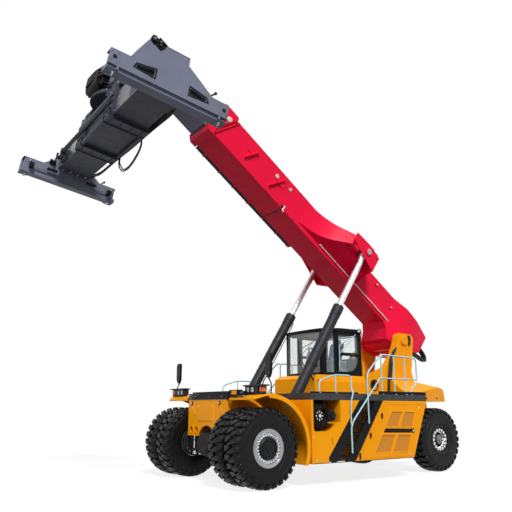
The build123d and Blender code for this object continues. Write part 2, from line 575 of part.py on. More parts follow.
# ---------------------------------------------------------------- lamps and mirrors
lamp = block(1370, 1840, -120, 30, 1905, 2052) + block(1330, 2040, -150, 50, 2050, 2078)
lamp += block(1880, 1985, -100, 5, 1900, 2052)
lamp -= block(1405, 1540, -130, -95, 1925, 2035) + block(1575, 1710, -130, -95, 1925, 2035)
foot = block(1400, 1980, -90, 0, 1840, 1910)
under = outline([(-240, 1700), (-240, 1805 + SEAT), (-90, 1875 + SEAT), (60, 1894 + SEAT), (60, 1700)])
lamp = lamp + foot - side_slab(under, 1300, 2100)
nodes["front_lamps"] = both_sides(lamp)
MIRROR_Y = 70
mirror_arm = rail([
    (2060, MIRROR_Y, 1895), (2060, MIRROR_Y, 2100), (1965, MIRROR_Y, 2220), (1975, MIRROR_Y, 2320)
], 13)
mirror_head = outline([
    (1885, 2320), (1930, 2225), (2015, 2225), (2070, 2320), (2078, 2670), (2040, 2730), (1920, 2730),
    (1882, 2680)
], 12)
mirror_arm += front_slab(mirror_head, MIRROR_Y - 22, MIRROR_Y + 22)
nodes["mirrors"] = both_sides(mirror_arm)

# ---------------------------------------------------------------- lift cylinders
for name, side in (("left", 1), ("right", -1)):
    x = side * LIFT_X
    eye_half = (FOOT_OUT - FOOT_IN) / 2 - SEAT
    barrel = Pos(0, 0, x) * Cylinder(LIFT_BARREL_R + 8, 2 * eye_half)
    barrel += Pos(LIFT_NECK / 2, 0, x) * Rot(0, 90, 0) * Cylinder(LIFT_NECK_R, LIFT_NECK)
    barrel += Pos((LIFT_BARREL_LENGTH + LIFT_NECK) / 2, 0, x) * Rot(0, 90, 0) * Cylinder(
        LIFT_BARREL_R, LIFT_BARREL_LENGTH - LIFT_NECK)
    barrel += Pos(LIFT_BARREL_LENGTH - 110, 0, x) * Rot(0, 90, 0) * Cylinder(LIFT_BARREL_R + 8, 220)
    barrel -= Pos(1780, 0, x) * Rot(0, 90, 0) * Cylinder(LIFT_BORE_R, 2860)
    barrel -= Pos(LIFT_BARREL_LENGTH, 0, x) * Rot(0, 90, 0) * Cylinder(LIFT_ROD_R + PIN_GAP, 600)
    barrel -= Pos(0, 0, x) * Cylinder(55 + PIN_GAP, 400)
    nodes[f"lift_barrel_{name}"] = lift_place * barrel
    rod_start = 1960
    rod = Pos((rod_start + lift_length) / 2, 0, x) * Rot(0, 90, 0) * Cylinder(
        LIFT_ROD_R, lift_length - rod_start)
    rod += Pos(lift_length, 0, x) * Cylinder(140, 190)
    rod += Pos(rod_start + 30, 0, x) * Rot(0, 90, 0) * Cylinder(LIFT_BORE_R - PIN_GAP, 60)
    nodes[f"lift_rod_{name}"] = lift_place * rod

# ---------------------------------------------------------------- outer boom
def along(points, half):
    """Outline in the boom's side view, extruded to half on both sides."""
    return Pos(0, 0, -half) * extrude(outline(points), 2 * half)


def across(face, s0, s1):
    """Outline in the boom's cross-section (outward, up), extruded along the boom."""
    plane = Plane(origin=(s1, 0, 0), x_dir=(0, 0, 1), z_dir=(-1, 0, 0))
    return extrude(plane * face, s1 - s0)


shell_side = [
    (BOOM_FRONT - 280, BOOM_LOW), (BOOM_FRONT - 280, BOOM_TOP), (200, BOOM_TOP), (BOOM_REAR, 1040),
    (BOOM_REAR + 30, 460), (-700, 30), (-330, -150), (330, -150), (480, 120), (640, BOOM_LOW)
]
shell = along(shell_side, FLARE)
plan = outline([
    (BOOM_FRONT, -BOOM_HALF), (BOOM_FRONT, BOOM_HALF), (640, BOOM_HALF), (120, FLARE), (-350, FLARE),
    (BOOM_REAR, BOOM_HALF), (BOOM_REAR, -BOOM_HALF), (-350, -FLARE), (120, -FLARE), (640, -BOOM_HALF)
])
plan_prism = Pos(0, 1500, 0) * extrude(Plane.XZ * plan, 2200)
shell = shell & plan_prism
shell += Cylinder(PIVOT_R + 135, 2 * (FLARE + 40))
collar = along([
    (BOOM_FRONT - 570, 1130), (BOOM_FRONT - 510, 1190), (BOOM_FRONT - 70, 1190), (BOOM_FRONT, 1110),
    (BOOM_FRONT, 330), (BOOM_FRONT - 130, 200), (BOOM_FRONT - 310, 200), (BOOM_FRONT - 270, 420),
    (BOOM_FRONT - 490, 960)
], BOOM_HALF + 50)
shell += collar
# triangular outriggers that carry the lift cylinders' rod pins
POCKET_REAR, POCKET_FRONT = LIFT_PIN_S - 190, LIFT_PIN_S + 570
POCKET_HALF = LIFT_BARREL_R + 14
WING_OUT = LIFT_X + POCKET_HALF + 19
wing_plan = outline([
    (4560, BOOM_HALF - 5), (4050, 500), (3650, 680), (3350, 900), (3060, 1100), (2900, WING_OUT),
    (2330, WING_OUT), (2240, 1090), (2060, BOOM_HALF - 5)
])
wing_prism = Pos(0, 1500, 0) * extrude(Plane.XZ * wing_plan, 1600)
wing_section = outline([
    (BOOM_HALF - 5, 380), (BOOM_HALF - 5, 1078), (WING_OUT, 1078), (WING_OUT, 820)
])
wing = wing_prism & across(wing_section, 2000, 4600)
pocket = Pos((POCKET_REAR + POCKET_FRONT) / 2, 800, LIFT_X) * Box(
    POCKET_FRONT - POCKET_REAR, 1200, 2 * POCKET_HALF)
cheek = along([
    (POCKET_FRONT + 20, 830), (POCKET_FRONT + 20, 1078), (LIFT_PIN_S + 180, 1110), (LIFT_PIN_S - 120, 1110),
    (2330, 1020), (2240, 780), (2230, 540), (2330, 560)
], 18)
cheek = Pos(0, 0, WING_OUT - 18) * cheek
cheek_wall = Pos(0, 0, LIFT_X - POCKET_HALF - 18) * along([
    (POCKET_FRONT + 20, 640), (POCKET_FRONT + 20, 1078), (2330, 1078), (2240, 780), (2230, 540)
], 18)
rear_web = across(outline([
    (BOOM_HALF - 5, 300), (BOOM_HALF - 5, 1078), (WING_OUT, 1040), (WING_OUT, 540)
]), 2236, 2276)
boss = Pos(LIFT_PIN_S, LIFT_PIN_T, WING_OUT + 12) * Cylinder(95, 24)
wing = wing + cheek + cheek_wall + rear_web - pocket + boss
shell += wing + mirror(wing, about=Plane.XY)
# pads of the pad pockets on the sides, with their slanted ledges
for s, t in ((6750, 820), (5600, 830)):
    for side in (-1, 1):
        shell += Pos(s, t, side * (BOOM_HALF + 8)) * Rot(0, 0, 12) * Box(300, 190, 20)
BORE_REAR, BORE_FRONT = BOOM_REAR + 50, BOOM_FRONT + 70
bore = Pos((BORE_REAR + BORE_FRONT) / 2, (BOOM_LOW + BOOM_TOP) / 2, 0) * Box(
    BORE_FRONT - BORE_REAR, BOOM_TOP - BOOM_LOW - 2 * BOOM_WALL, 2 * (BOOM_HALF - BOOM_WALL))
shell -= bore
shell -= Cylinder(PIVOT_R + PIN_GAP, 1400)
# wear pads at the mouth
INNER_HALF = BOOM_HALF - BOOM_WALL - INNER_CLEAR
INNER_LOW = BOOM_LOW + BOOM_WALL + INNER_CLEAR
INNER_TOP = BOOM_TOP - BOOM_WALL - INNER_CLEAR
PAD = INNER_CLEAR - SLIDE_GAP
for side in (-1, 1):
    shell += Pos(BOOM_FRONT - 230, 690, side * (BOOM_HALF - BOOM_WALL - PAD / 2 + 1)) * Box(360, 420, PAD + 2)
shell += Pos(BOOM_FRONT - 230, BOOM_LOW + BOOM_WALL + PAD / 2 - 1, 0) * Box(360, PAD + 2, 2 * INNER_HALF - 160)
shell += Pos(BOOM_FRONT - 230, BOOM_TOP - BOOM_WALL - PAD / 2 + 1, 0) * Box(360, PAD + 2, 2 * INNER_HALF - 160)
nodes["boom_outer"] = boom_place * shell

TRAY_IN, TRAY_OUT = BOOM_HALF + SEAT, BOOM_HALF + 140
tray = Pos(5880, 310, (TRAY_IN + TRAY_OUT) / 2) * Box(3800, 95, TRAY_OUT - TRAY_IN)
tray -= Pos(5880, 320, (TRAY_IN + TRAY_OUT) / 2) * Box(3900, 90, TRAY_OUT - TRAY_IN - 24)
nodes["cable_tray"] = boom_place * tray

# ---------------------------------------------------------------- inner boom with its head
INNER_REAR, INNER_FRONT = 100, TILT_PIN_S + 104
inner_length = INNER_FRONT - INNER_REAR
inner_mid = ((INNER_FRONT + INNER_REAR) / 2, (INNER_LOW + INNER_TOP) / 2, 0)
inner = Pos(*inner_mid) * Box(inner_length, INNER_TOP - INNER_LOW, 2 * INNER_HALF)
inner -= Pos(*inner_mid) * Box(inner_length + 10, INNER_TOP - INNER_LOW - 40, 2 * INNER_HALF - 40)
for side in (-1, 1):
    inner += Pos(350, 690, side * (INNER_HALF + PAD / 2 - 1)) * Box(300, 420, PAD + 2)
inner += Pos(350, INNER_LOW - PAD / 2 + 1, 0) * Box(300, PAD + 2, 2 * INNER_HALF - 160)
inner += Pos(350, INNER_TOP + PAD / 2 - 1, 0) * Box(300, PAD + 2, 2 * INNER_HALF - 160)
HEAD_REAR, HEAD_FRONT = TILT_PIN_S - 696, TILT_PIN_S + 274
LUG_R = 250
CHEEK_IN = INNER_HALF - 70
head_face = outline([
    (HEAD_REAR, INNER_LOW), (HEAD_REAR, INNER_TOP), (HEAD_REAR + 200, INNER_TOP),
    (HEAD_FRONT - 30, 985), (HEAD_FRONT, 950),
    (HEAD_FRONT, 250), (TILT_PIN_S + LUG_R, TILT_PIN_T), (TILT_PIN_S - LUG_R, TILT_PIN_T),
    (TILT_PIN_S - LUG_R - 90, 0), (HEAD_REAR + 150, 300)
])
head = Pos(0, 0, -INNER_HALF) * extrude(head_face, 2 * INNER_HALF)
head += Pos(TILT_PIN_S, TILT_PIN_T, 0) * Cylinder(LUG_R, 2 * INNER_HALF)
head -= Pos(TILT_PIN_S - 296, -110, 0) * Box(1600, 860, 2 * CHEEK_IN)
head -= Pos(TILT_PIN_S - 346, 690, 0) * Box(1100, INNER_TOP - INNER_LOW - 40, 2 * CHEEK_IN)
head -= Pos(TILT_PIN_S, TILT_PIN_T, 0) * Cylinder(TILT_PIN_R + PIN_GAP, 1000)
nodes["boom_inner"] = boom_place * (inner + head)

# ---------------------------------------------------------------- spreader
RING_LOW = 1150
yoke_side = outline([
    (-430, RING_LOW + 140), (430, RING_LOW + 140), (400, 1420), (170, PIN_HEIGHT), (-170, PIN_HEIGHT),
    (-400, 1420)
])
yoke = disc_z(0, 0, 600, RING_LOW + SLIDE_GAP, RING_LOW + 145)
for side in (-1, 1):
    lug = side_slab(yoke_side, *sorted((side * (CHEEK_IN - 110), side * (CHEEK_IN - 5))))
    lug += disc_x(0, PIN_HEIGHT, 170, *sorted((side * (CHEEK_IN - 110), side * (CHEEK_IN - 5))))
    yoke += lug
yoke += block(110 - CHEEK_IN, CHEEK_IN - 110, -240, 240, RING_LOW + 140, 1600)
yoke += disc_x(0, PIN_HEIGHT, TILT_PIN_R, -INNER_HALF - 40, INNER_HALF + 40)
for side in (-1, 1):
    yoke += disc_z(side * 430, -230, 95, RING_LOW + 140, 1560)
    yoke += disc_x(0, PIN_HEIGHT, 95, *sorted((side * (INNER_HALF + 1), side * (INNER_HALF + 40))))
nodes["yoke"] = spreader_place * yoke

carrier = disc_z(0, 0, 650, 1050, RING_LOW) + block(-1120, 1120, -430, 430, 1000, 1052)
SADDLE_A = (700, 1040)
for b in (-1, 1):
    carrier += block(-1060, 1060, *sorted((b * (BEAM_HALF + 60), b * (BEAM_HALF + 115))), 690, 770)
    carrier += block(-900, 900, *sorted((b * (BEAM_HALF + 8), b * (BEAM_HALF + 75))), BEAM_LOW - 60,
                     BEAM_LOW + 20)
for side in (-1, 1):
    a0, a1 = sorted((side * SADDLE_A[0], side * SADDLE_A[1]))
    carrier += block(a0, a1, -BEAM_HALF - 75, BEAM_HALF + 75, BEAM_LOW - 60, 1002)
    for b in (-1, 1):
        web = outline([(side * 1040, 820), (side * 700, 820), (side * 330, 1048), (side * 900, 1048)])
        carrier += front_slab(web, *sorted((b * (BEAM_HALF + 35), b * (BEAM_HALF + 75))))
    carrier -= block(a0 - 5, a1 + 5, -BEAM_HALF - SLIDE_GAP, BEAM_HALF + SLIDE_GAP, BEAM_LOW - SLIDE_GAP,
                     BEAM_TOP + SLIDE_GAP)
nodes["slew_carrier"] = spreader_place * carrier

BEAM_END = END_X - 430
BEAM_WALL = 15
beam = block(-BEAM_END, BEAM_END, -BEAM_HALF, BEAM_HALF, BEAM_LOW, BEAM_TOP)
CELL_LOW, CELL_TOP = BEAM_LOW + BEAM_WALL, BEAM_TOP - BEAM_WALL
for b0, b1 in ((-BEAM_HALF + BEAM_WALL, -8), (8, BEAM_HALF - BEAM_WALL)):
    beam -= block(-BEAM_END - 5, BEAM_END + 5, b0, b1, CELL_LOW, CELL_TOP)
nodes["main_beam"] = spreader_place * beam

PLATE = 40
TOWER_TOP = 925
end_face = outline([
    (-END_HALF, 30), (-END_HALF, 340), (-870, 350), (-260, 760), (-260, TOWER_TOP), (260, TOWER_TOP),
    (260, 760), (870, 350), (END_HALF, 340), (END_HALF, 30)
])
core_face = outline([(-840, 300), (-300, 700), (-230, TOWER_TOP - 60), (230, TOWER_TOP - 60), (300, 700),
                     (840, 300)])
front_slot = outline([(-770, 190), (-380, 160), (-380, 320), (-740, 250)], 28)
ARM_END = END_X - PLATE - 240
for name, side in (("left", 1), ("right", -1)):
    end = side_slab(end_face, *sorted((side * (END_X - PLATE), side * END_X)))
    end += side_slab(core_face, *sorted((side * (ARM_END + 20), side * (END_X - PLATE))))
    end += block(*sorted((side * ARM_END, side * (END_X - PLATE))), -END_HALF + 50, END_HALF - 50, 0, 340)
    end += block(*sorted((side * ARM_END, side * (END_X - PLATE))), -END_HALF, END_HALF, -60, 35)
    for mirror_b in (False, True):
        slot = side_slab(front_slot, *sorted((side * (END_X - 190), side * (END_X + 10))))
        end -= mirror(slot, about=Plane.XZ) if mirror_b else slot
    b0, b1 = (-BEAM_HALF + BEAM_WALL, -8) if side > 0 else (8, BEAM_HALF - BEAM_WALL)
    reach = sorted((side * -1400, side * (ARM_END + 30)))
    arm = block(*reach, b0 + SLIDE_GAP, b1 - SLIDE_GAP, CELL_LOW + SLIDE_GAP, CELL_TOP - SLIDE_GAP)
    hollow = sorted((side * -1420, side * (ARM_END - 40)))
    arm -= block(*hollow, b0 + 20, b1 - 20, CELL_LOW + 20, CELL_TOP - 20)
    end += arm
    locks = []
    for b in (-1, 1):
        end -= disc_z(side * LOCK_X, b * LOCK_Y, 45, -70, 200)
        lock = disc_z(side * LOCK_X, b * LOCK_Y, 45 - SEAT, -62, 190)
        cone = Pos(side * LOCK_X, b * LOCK_Y, -62) * extrude(Rot(180, 0, 0) * Rectangle(86, 50), 70, taper=12)
        locks += solids_of(lock + cone)
    nodes[f"end_beam_{name}"] = spreader_place * end
    nodes[f"twistlocks_{name}"] = spreader_place * Compound(children=locks)

# ---------------------------------------------------------------- row frame and files
whole = Compound(children=[s for shape in nodes.values() for s in shape.solids()]).bounding_box()
row_origin = Vector((whole.min.X + whole.max.X) / 2, (whole.min.Y + whole.max.Y) / 2, whole.min.Z)
os.makedirs("parts", exist_ok=True)
for name, shape in nodes.items():
    pieces = [Pos(*(-row_origin)) * solid for solid in shape.solids()]
    export_step(pieces[0] if len(pieces) == 1 else Compound(children=pieces), f"parts/{name}.step")
print("row origin in the machine frame:", row_origin)
print("box:", whole.min, whole.max, "nodes:", len(nodes))
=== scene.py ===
"""Looks of the reach stacker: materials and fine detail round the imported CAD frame."""
from math import atan2, copysign, cos, dist, hypot, pi, radians, sin, tau

import bmesh
import bpy
from mathutils import Matrix, Vector
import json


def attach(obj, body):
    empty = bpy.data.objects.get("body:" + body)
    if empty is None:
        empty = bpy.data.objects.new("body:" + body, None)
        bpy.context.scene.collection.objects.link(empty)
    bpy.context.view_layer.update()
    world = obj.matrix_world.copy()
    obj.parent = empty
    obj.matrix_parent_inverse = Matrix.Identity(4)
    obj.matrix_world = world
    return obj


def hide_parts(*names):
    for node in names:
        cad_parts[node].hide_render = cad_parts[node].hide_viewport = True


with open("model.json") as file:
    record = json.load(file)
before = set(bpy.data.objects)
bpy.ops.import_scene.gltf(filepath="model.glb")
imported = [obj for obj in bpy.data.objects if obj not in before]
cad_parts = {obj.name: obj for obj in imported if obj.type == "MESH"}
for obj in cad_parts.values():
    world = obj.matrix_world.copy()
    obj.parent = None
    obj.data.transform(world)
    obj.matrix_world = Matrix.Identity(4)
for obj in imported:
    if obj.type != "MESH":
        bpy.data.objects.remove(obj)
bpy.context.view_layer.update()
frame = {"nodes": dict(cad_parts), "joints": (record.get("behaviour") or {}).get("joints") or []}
NODES = frame["nodes"]
JOINTS = {j["name"]: j for j in frame["joints"]}

# ---------------------------------------------------------------- places
# Drawing coordinates have the front axle at y = 0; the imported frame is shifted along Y.
SHIFT_Y = JOINTS["front_wheel_left_spin"]["pos_m"][1]
TYRE_R = 0.81
FRONT_TYRES = (1.205, 1.825)
REAR_TYRE, WHEELBASE = 1.38, 6.0
BODY_X, DECK_LOW, DECK_TOP = 2.04, 1.78, 1.93
BOOM_HALF, BOOM_LOW, BOOM_TOP = 0.42, 0.257, 1.119
RIM_EDGE = 0.215  # from a tyre's middle to the rim's outer edge
SIDE_SHIFT = (0.565, 0.62)  # y and z of the cylinder on the slewing carrier
EXTENSION_Y, EXTENSION_Z = 0.56, 0.44  # of the extension cylinders on the main beam
EX, EY, EZ = (1, 0, 0), (0, 1, 0), (0, 0, 1)
PIN_HEIGHT = 1.94  # of the spreader's level pin over its beams' undersides
LIFT_X, LIFT_S, LIFT_LENGTH = 0.985, 2.64, 5.3161


def axes(x, y, z, origin):
    m = Matrix((x, y, z)).transposed().to_4x4()
    m.translation = Vector(origin)
    return m


MACHINE = Matrix.Translation((0, SHIFT_Y, 0))
pivot = Vector(JOINTS["boom_lift"]["pos_m"])
along = Vector(JOINTS["boom_telescope"]["axis"])
# boom frame: x across, y square to the boom's top, z to its head
BOOM = axes((1, 0, 0), along.cross(Vector((1, 0, 0))), along, pivot)
up = Vector(JOINTS["spreader_slew"]["axis"])
back = up.cross(Vector((1, 0, 0)))
tilt = Vector(JOINTS["spreader_level"]["pos_m"])
# spreader frame: x across, y rearward, z up, from the height of its beams' undersides
SPREADER = axes((1, 0, 0), back, up, tilt - up * PIN_HEIGHT)
stroke = Vector(JOINTS["lift_rod_left_stroke"]["axis"])
foot = Vector(JOINTS["lift_barrel_left_swing"]["pos_m"])
# lift cylinder frame: x across, y square to the rod, z along the rod
CYLINDER = axes((1, 0, 0), stroke.cross(Vector((1, 0, 0))), stroke, (0, foot.y, foot.z))

# ---------------------------------------------------------------- materials
PAINT = {}


class Nodes:
    """Short calls for a material's node tree."""

    def __init__(self, name):
        self.name, self.material = name, bpy.data.materials.new(name)
        self.material.use_nodes = True
        self.tree = self.material.node_tree
        self.shader = self.tree.nodes["Principled BSDF"]
        self.coords = self.tree.nodes.new("ShaderNodeTexCoord").outputs["Object"]

    def add(self, kind, **values):
        node = self.tree.nodes.new("ShaderNode" + kind)
        for key, value in values.items():
            if key in node.inputs:
                node.inputs[key].default_value = value
            else:
                setattr(node, key, value)
        return node

    def link(self, out, into):
        self.tree.links.new(out, into)

    def stretched(self, scale):
        node = self.add("Mapping", Scale=scale)
        self.link(self.coords, node.inputs["Vector"])
        return node.outputs["Vector"]

    def noise(self, scale, detail=4.0, rough=0.55, stretch=None):
        node = self.add("TexNoise", Scale=scale, Detail=detail, Roughness=rough)
        self.link(self.stretched(stretch) if stretch else self.coords, node.inputs["Vector"])
        return node.outputs["Fac"]

    def remap(self, out, low, high, a=0.0, b=1.0):
        node = self.add("MapRange")
        for key, value in zip(("From Min", "From Max", "To Min", "To Max"), (low, high, a, b)):
            node.inputs[key].default_value = value
        self.link(out, node.inputs["Value"])
        return node.outputs["Result"]

    def times(self, a, b):
        node = self.add("Math", operation="MULTIPLY")
        self.link(a, node.inputs[0])
        if isinstance(b, float):
            node.inputs[1].default_value = b
        else:
            self.link(b, node.inputs[1])
        return node.outputs[0]

    def mix(self, fac, a, b, blend="MIX"):
        node = self.add("Mix", data_type="RGBA", blend_type=blend)
        self.link(fac, node.inputs[0])
        for socket, value in ((node.inputs[6], a), (node.inputs[7], b)):
            if isinstance(value, tuple):
                socket.default_value = (*value, 1.0)
            else:
                self.link(value, socket)
        return node.outputs[2]

    def bump(self, *layers):
        """Stacks (height, strength, distance) bump layers onto the shader."""
        last = None
        for height, strength, distance in layers:
            node = self.add("Bump", Strength=strength, Distance=distance)
            self.link(height, node.inputs["Height"])
            if last is not None:
                self.link(last, node.inputs["Normal"])
            last = node.outputs["Normal"]
        self.link(last, self.shader.inputs["Normal"])

    def set(self, **values):
        for key, value in values.items():
            self.shader.inputs[key.replace("_", " ")].default_value = value

    def paint(self, colour, roughness=None, **values):
        """Links colour and roughness, sets the rest, and files the material under its own name."""
        self.link(colour, self.shader.inputs["Base Color"])
        if roughness:
            self.link(roughness, self.shader.inputs["Roughness"])
        self.set(**values)
        PAINT[self.name] = self.material


def paint(name, colour, rough=0.34, coat=0.1, fade=0.1, dust=(0.3, 0.27, 0.22), grime=0.25, metallic=0.0,
          low=None, specular=0.3):
    """Sprayed enamel: slight colour drift, orange peel, run-off streaks and dust low down."""
    n = Nodes(name)
    drift = n.remap(n.noise(0.9, 3.0), 0.3, 0.7)
    dark = tuple(c * (1 - fade) for c in colour)
    base = n.mix(drift, dark, colour)
    streak = n.remap(n.noise(3.0, 5.0, 0.6, (2.2, 2.2, 0.16)), 0.56, 0.8, 0.0, grime)
    base = n.mix(streak, base, tuple(0.55 * c + 0.12 * d for c, d in zip(colour, dust)))
    if low:
        place = n.add("SeparateXYZ")
        n.link(n.coords, place.inputs[0])
        height = n.remap(place.outputs["Z"], low[0], low[1], 1.0, 0.0)
        patch = n.times(height, n.remap(n.noise(5.0, 6.0), 0.35, 0.75, 0.0, low[2]))
        base = n.mix(patch, base, dust)
    n.bump((n.noise(420.0, 1.0), 0.02, 0.0003), (n.noise(1.6, 2.0), 0.04, 0.005))
    n.paint(base, n.remap(n.noise(7.0, 4.0), 0.3, 0.7, rough - 0.06, rough + 0.1), Metallic=metallic,
        Coat_Weight=coat, Coat_Roughness=0.12, Specular_IOR_Level=specular)


def metal(name, colour, rough, brushed=None, grime=0.0, grain=0.08):
    n = Nodes(name)
    base = n.mix(n.remap(n.noise(14.0, 5.0), 0.35, 0.75), colour, tuple(c * 0.72 for c in colour))
    if grime:
        base = n.mix(n.remap(n.noise(22.0, 6.0, 0.7), 0.45, 0.7, 0.0, grime), base, (0.05, 0.045, 0.04))
    if grain:
        n.bump((n.noise(90.0, 3.0, 0.5, brushed), grain, 0.0008))
    n.paint(base, n.remap(n.noise(30.0, 3.0, 0.5, brushed), 0.3, 0.7, rough * 0.7, rough * 1.4), Metallic=1.0)


def moulded(name, colour, rough=0.55, grain=260.0, strength=0.25, fade=0.2, specular=0.5):
    n = Nodes(name)
    base = n.mix(n.remap(n.noise(6.0, 5.0), 0.3, 0.7), colour, tuple(c * (1 - fade) + 0.004 for c in colour))
    n.bump((n.noise(grain, 2.0), strength, 0.0008))
    n.paint(base, n.remap(n.noise(18.0, 3.0), 0.3, 0.7, rough - 0.08, rough + 0.08), Specular_IOR_Level=specular)


YELLOW = (0.9, 0.335, 0.002)
RED = (0.82, 0.005, 0.046)
SLATE = (0.185, 0.2, 0.275)
paint("yellow", YELLOW, coat=0.04, fade=0.08, grime=0.12, low=(0.1, 1.1, 0.08), specular=0.08)
paint("red", RED, rough=0.34, coat=0.0, fade=0.06, grime=0.06, specular=0.1)
paint("slate", SLATE, rough=0.44, coat=0.0, fade=0.25, grime=0.22, specular=0.16)
# darker copy of the slate paint, about a third as bright, for the main beam and slewing carrier: painted shade,
# so that their undersides come out dark
paint("slate_dark", (0.058, 0.061, 0.086), rough=0.44, coat=0.0, fade=0.25, grime=0.3, specular=0.14)
paint("black", (0.0085, 0.0095, 0.0125), rough=0.4, coat=0.0, fade=0.25, grime=0.06, low=(0.2, 1.4, 0.06),
    specular=0.07)
paint("barrel", (0.0095, 0.0105, 0.015), rough=0.52, coat=0.0, fade=0.2, grime=0.06, specular=0.3)
paint("cast", (0.0095, 0.01, 0.012), rough=0.55, coat=0.0, fade=0.4, grime=0.16, low=(0.2, 1.6, 0.1),
    specular=0.14)
paint("rail", (0.42, 0.66, 0.69), rough=0.35, fade=0.18, grime=0.4)
paint("rim_silver", (0.4, 0.415, 0.44), rough=0.28, coat=0.0, fade=0.3, grime=0.35, metallic=0.9,
    low=(0.3, 1.2, 0.15), specular=0.5)
paint("rim_black", (0.008, 0.0085, 0.01), rough=0.42, coat=0.0, fade=0.3, grime=0.06, low=(0.3, 1.4, 0.08),
    specular=0.14)
paint("white_line", (0.8, 0.8, 0.78), rough=0.4)
paint("hub_grey", (0.24, 0.25, 0.27), rough=0.4, fade=0.3, metallic=0.4, specular=0.3)
metal("chrome", (0.84, 0.85, 0.87), 0.42, grain=0.0)
metal("steel", (0.52, 0.52, 0.54), 0.32, grime=0.5)
metal("bolt", (0.78, 0.79, 0.81), 0.26, grime=0.2)
metal("dull", (0.24, 0.245, 0.26), 0.42, grime=0.5)
metal("rubbed", (0.27, 0.28, 0.31), 0.42, brushed=(0.06, 1.0, 1.0), grime=0.65)
moulded("plastic", (0.011, 0.0115, 0.013), specular=0.3)
moulded("hose", (0.009, 0.009, 0.01), rough=0.45, grain=500.0, strength=0.15, specular=0.25)
moulded("seal", (0.008, 0.008, 0.009), rough=0.6, specular=0.25)
moulded("interior", (0.26, 0.28, 0.285), rough=0.6, specular=0.3)
moulded("amber", (0.85, 0.2, 0.01), rough=0.18, strength=0.05)
moulded("lens", (0.75, 0.76, 0.78), rough=0.12, grain=60.0, strength=0.4)
moulded("lens_red", (0.55, 0.01, 0.01), rough=0.2, strength=0.1)
moulded("cream", (0.75, 0.62, 0.45), rough=0.5)


def rubber():
    n = Nodes("tyre")
    base = n.mix(n.remap(n.noise(9.0, 6.0, 0.65), 0.35, 0.72), (0.0028, 0.0028, 0.0034), (0.0065, 0.0063, 0.0062))
    n.bump((n.noise(150.0, 4.0, 0.6), 0.3, 0.0015), (n.noise(16.0, 3.0), 0.25, 0.004))
    n.paint(base, n.remap(n.noise(12.0, 4.0), 0.3, 0.7, 0.36, 0.48), Specular_IOR_Level=0.17)


def glass():
    n = Nodes("glass")
    base = n.mix(n.remap(n.noise(2.0, 3.0), 0.3, 0.7), (0.74, 0.88, 0.86), (0.82, 0.94, 0.92))
    n.paint(base, n.remap(n.noise(5.0, 4.0), 0.3, 0.7, 0.02, 0.06), Alpha=0.11, Specular_IOR_Level=0.45)
    n.material.surface_render_method = "BLENDED"


def fabric():
    n = Nodes("seat_cloth")
    weave = n.add("TexWave", Scale=240.0, Distortion=1.0)
    n.link(n.coords, weave.inputs["Vector"])
    base = n.mix(n.remap(n.noise(30.0, 4.0), 0.3, 0.7), (0.014, 0.065, 0.38), (0.022, 0.105, 0.52))
    n.bump((weave.outputs["Fac"], 0.4, 0.001), (n.noise(300.0), 0.3, 0.001))
    n.paint(base, Roughness=0.85, Sheen_Weight=0.05, Specular_IOR_Level=0.2)


def mirror_glass():
    n = Nodes("mirror")
    base = n.mix(n.noise(3.0), (0.8, 0.83, 0.85), (0.86, 0.88, 0.9))
    n.paint(base, Metallic=1.0, Roughness=0.03)


def grille():
    """Perforated yellow sheet: rows of small holes, not cut; their dark brown is painted shade behind the sheet.
    """
    n = Nodes("grille")
    cells = n.add("TexVoronoi", Scale=55.0, Randomness=0.0)
    n.link(n.coords, cells.inputs["Vector"])
    hole = n.remap(cells.outputs["Distance"], 0.3, 0.4, 1.0, 0.0)
    # dark brown in the holes: painted shade
    base = n.mix(hole, tuple(c * 0.6 for c in YELLOW), (0.1, 0.03, 0.002))
    n.bump((hole, 0.5, -0.003))
    n.paint(base, Roughness=0.45)


def deck_tread():
    """Black chequer plate."""
    n = Nodes("chequer")
    cells = n.add("TexVoronoi", Scale=26.0, Randomness=0.25)
    n.link(n.stretched((1.0, 1.6, 1.0)), cells.inputs["Vector"])
    base = n.mix(n.remap(n.noise(4.0, 6.0), 0.35, 0.75), (0.01, 0.012, 0.015), (0.028, 0.027, 0.026))
    n.bump((n.remap(cells.outputs["Distance"], 0.2, 0.4, 1.0, 0.0), 0.6, 0.003))
    n.paint(base, Roughness=0.5)


for make in (rubber, glass, fabric, mirror_glass, grille, deck_tread):
    make()


DRESS = {
    "tyre": "front_tyres_left front_tyres_right rear_tyre_left rear_tyre_right",
    "rim_silver": "front_rim_left front_rim_right",
    "rim_black": "rear_rim_left rear_rim_right",
    "cast": "drive_axle steer_axle steer_knuckle_left steer_knuckle_right hydraulic_unit engine_block",
    "yellow": "chassis_frame front_plate counterweight front_fenders side_body_left side_body_right rear_hood "
              "boom_brackets cab_base boom_pivot_pin",
    "chequer": "deck",
    "black": "ladders mirrors cab_frame cab_roof cab_door_left cab_door_right cable_tray",
    "rail": "handrails",
    "steel": "twistlocks_left twistlocks_right",
    "glass": "cab_glass door_glass_left door_glass_right",
    "seat_cloth": "operator_seat",
    "interior": "steering_console",
    "plastic": "front_lamps",
    "barrel": "lift_barrel_left lift_barrel_right",
    "chrome": "lift_rod_left lift_rod_right",
    "red": "boom_outer",
    # main beam and slewing carrier in the darker slate: painted shade
    "slate_dark": "slew_carrier main_beam",
    "slate": "boom_inner yoke end_beam_left end_beam_right",
}
for material, names in DRESS.items():
    for name in names.split():
        for slot in NODES[name].material_slots:
            slot.material = PAINT[material]

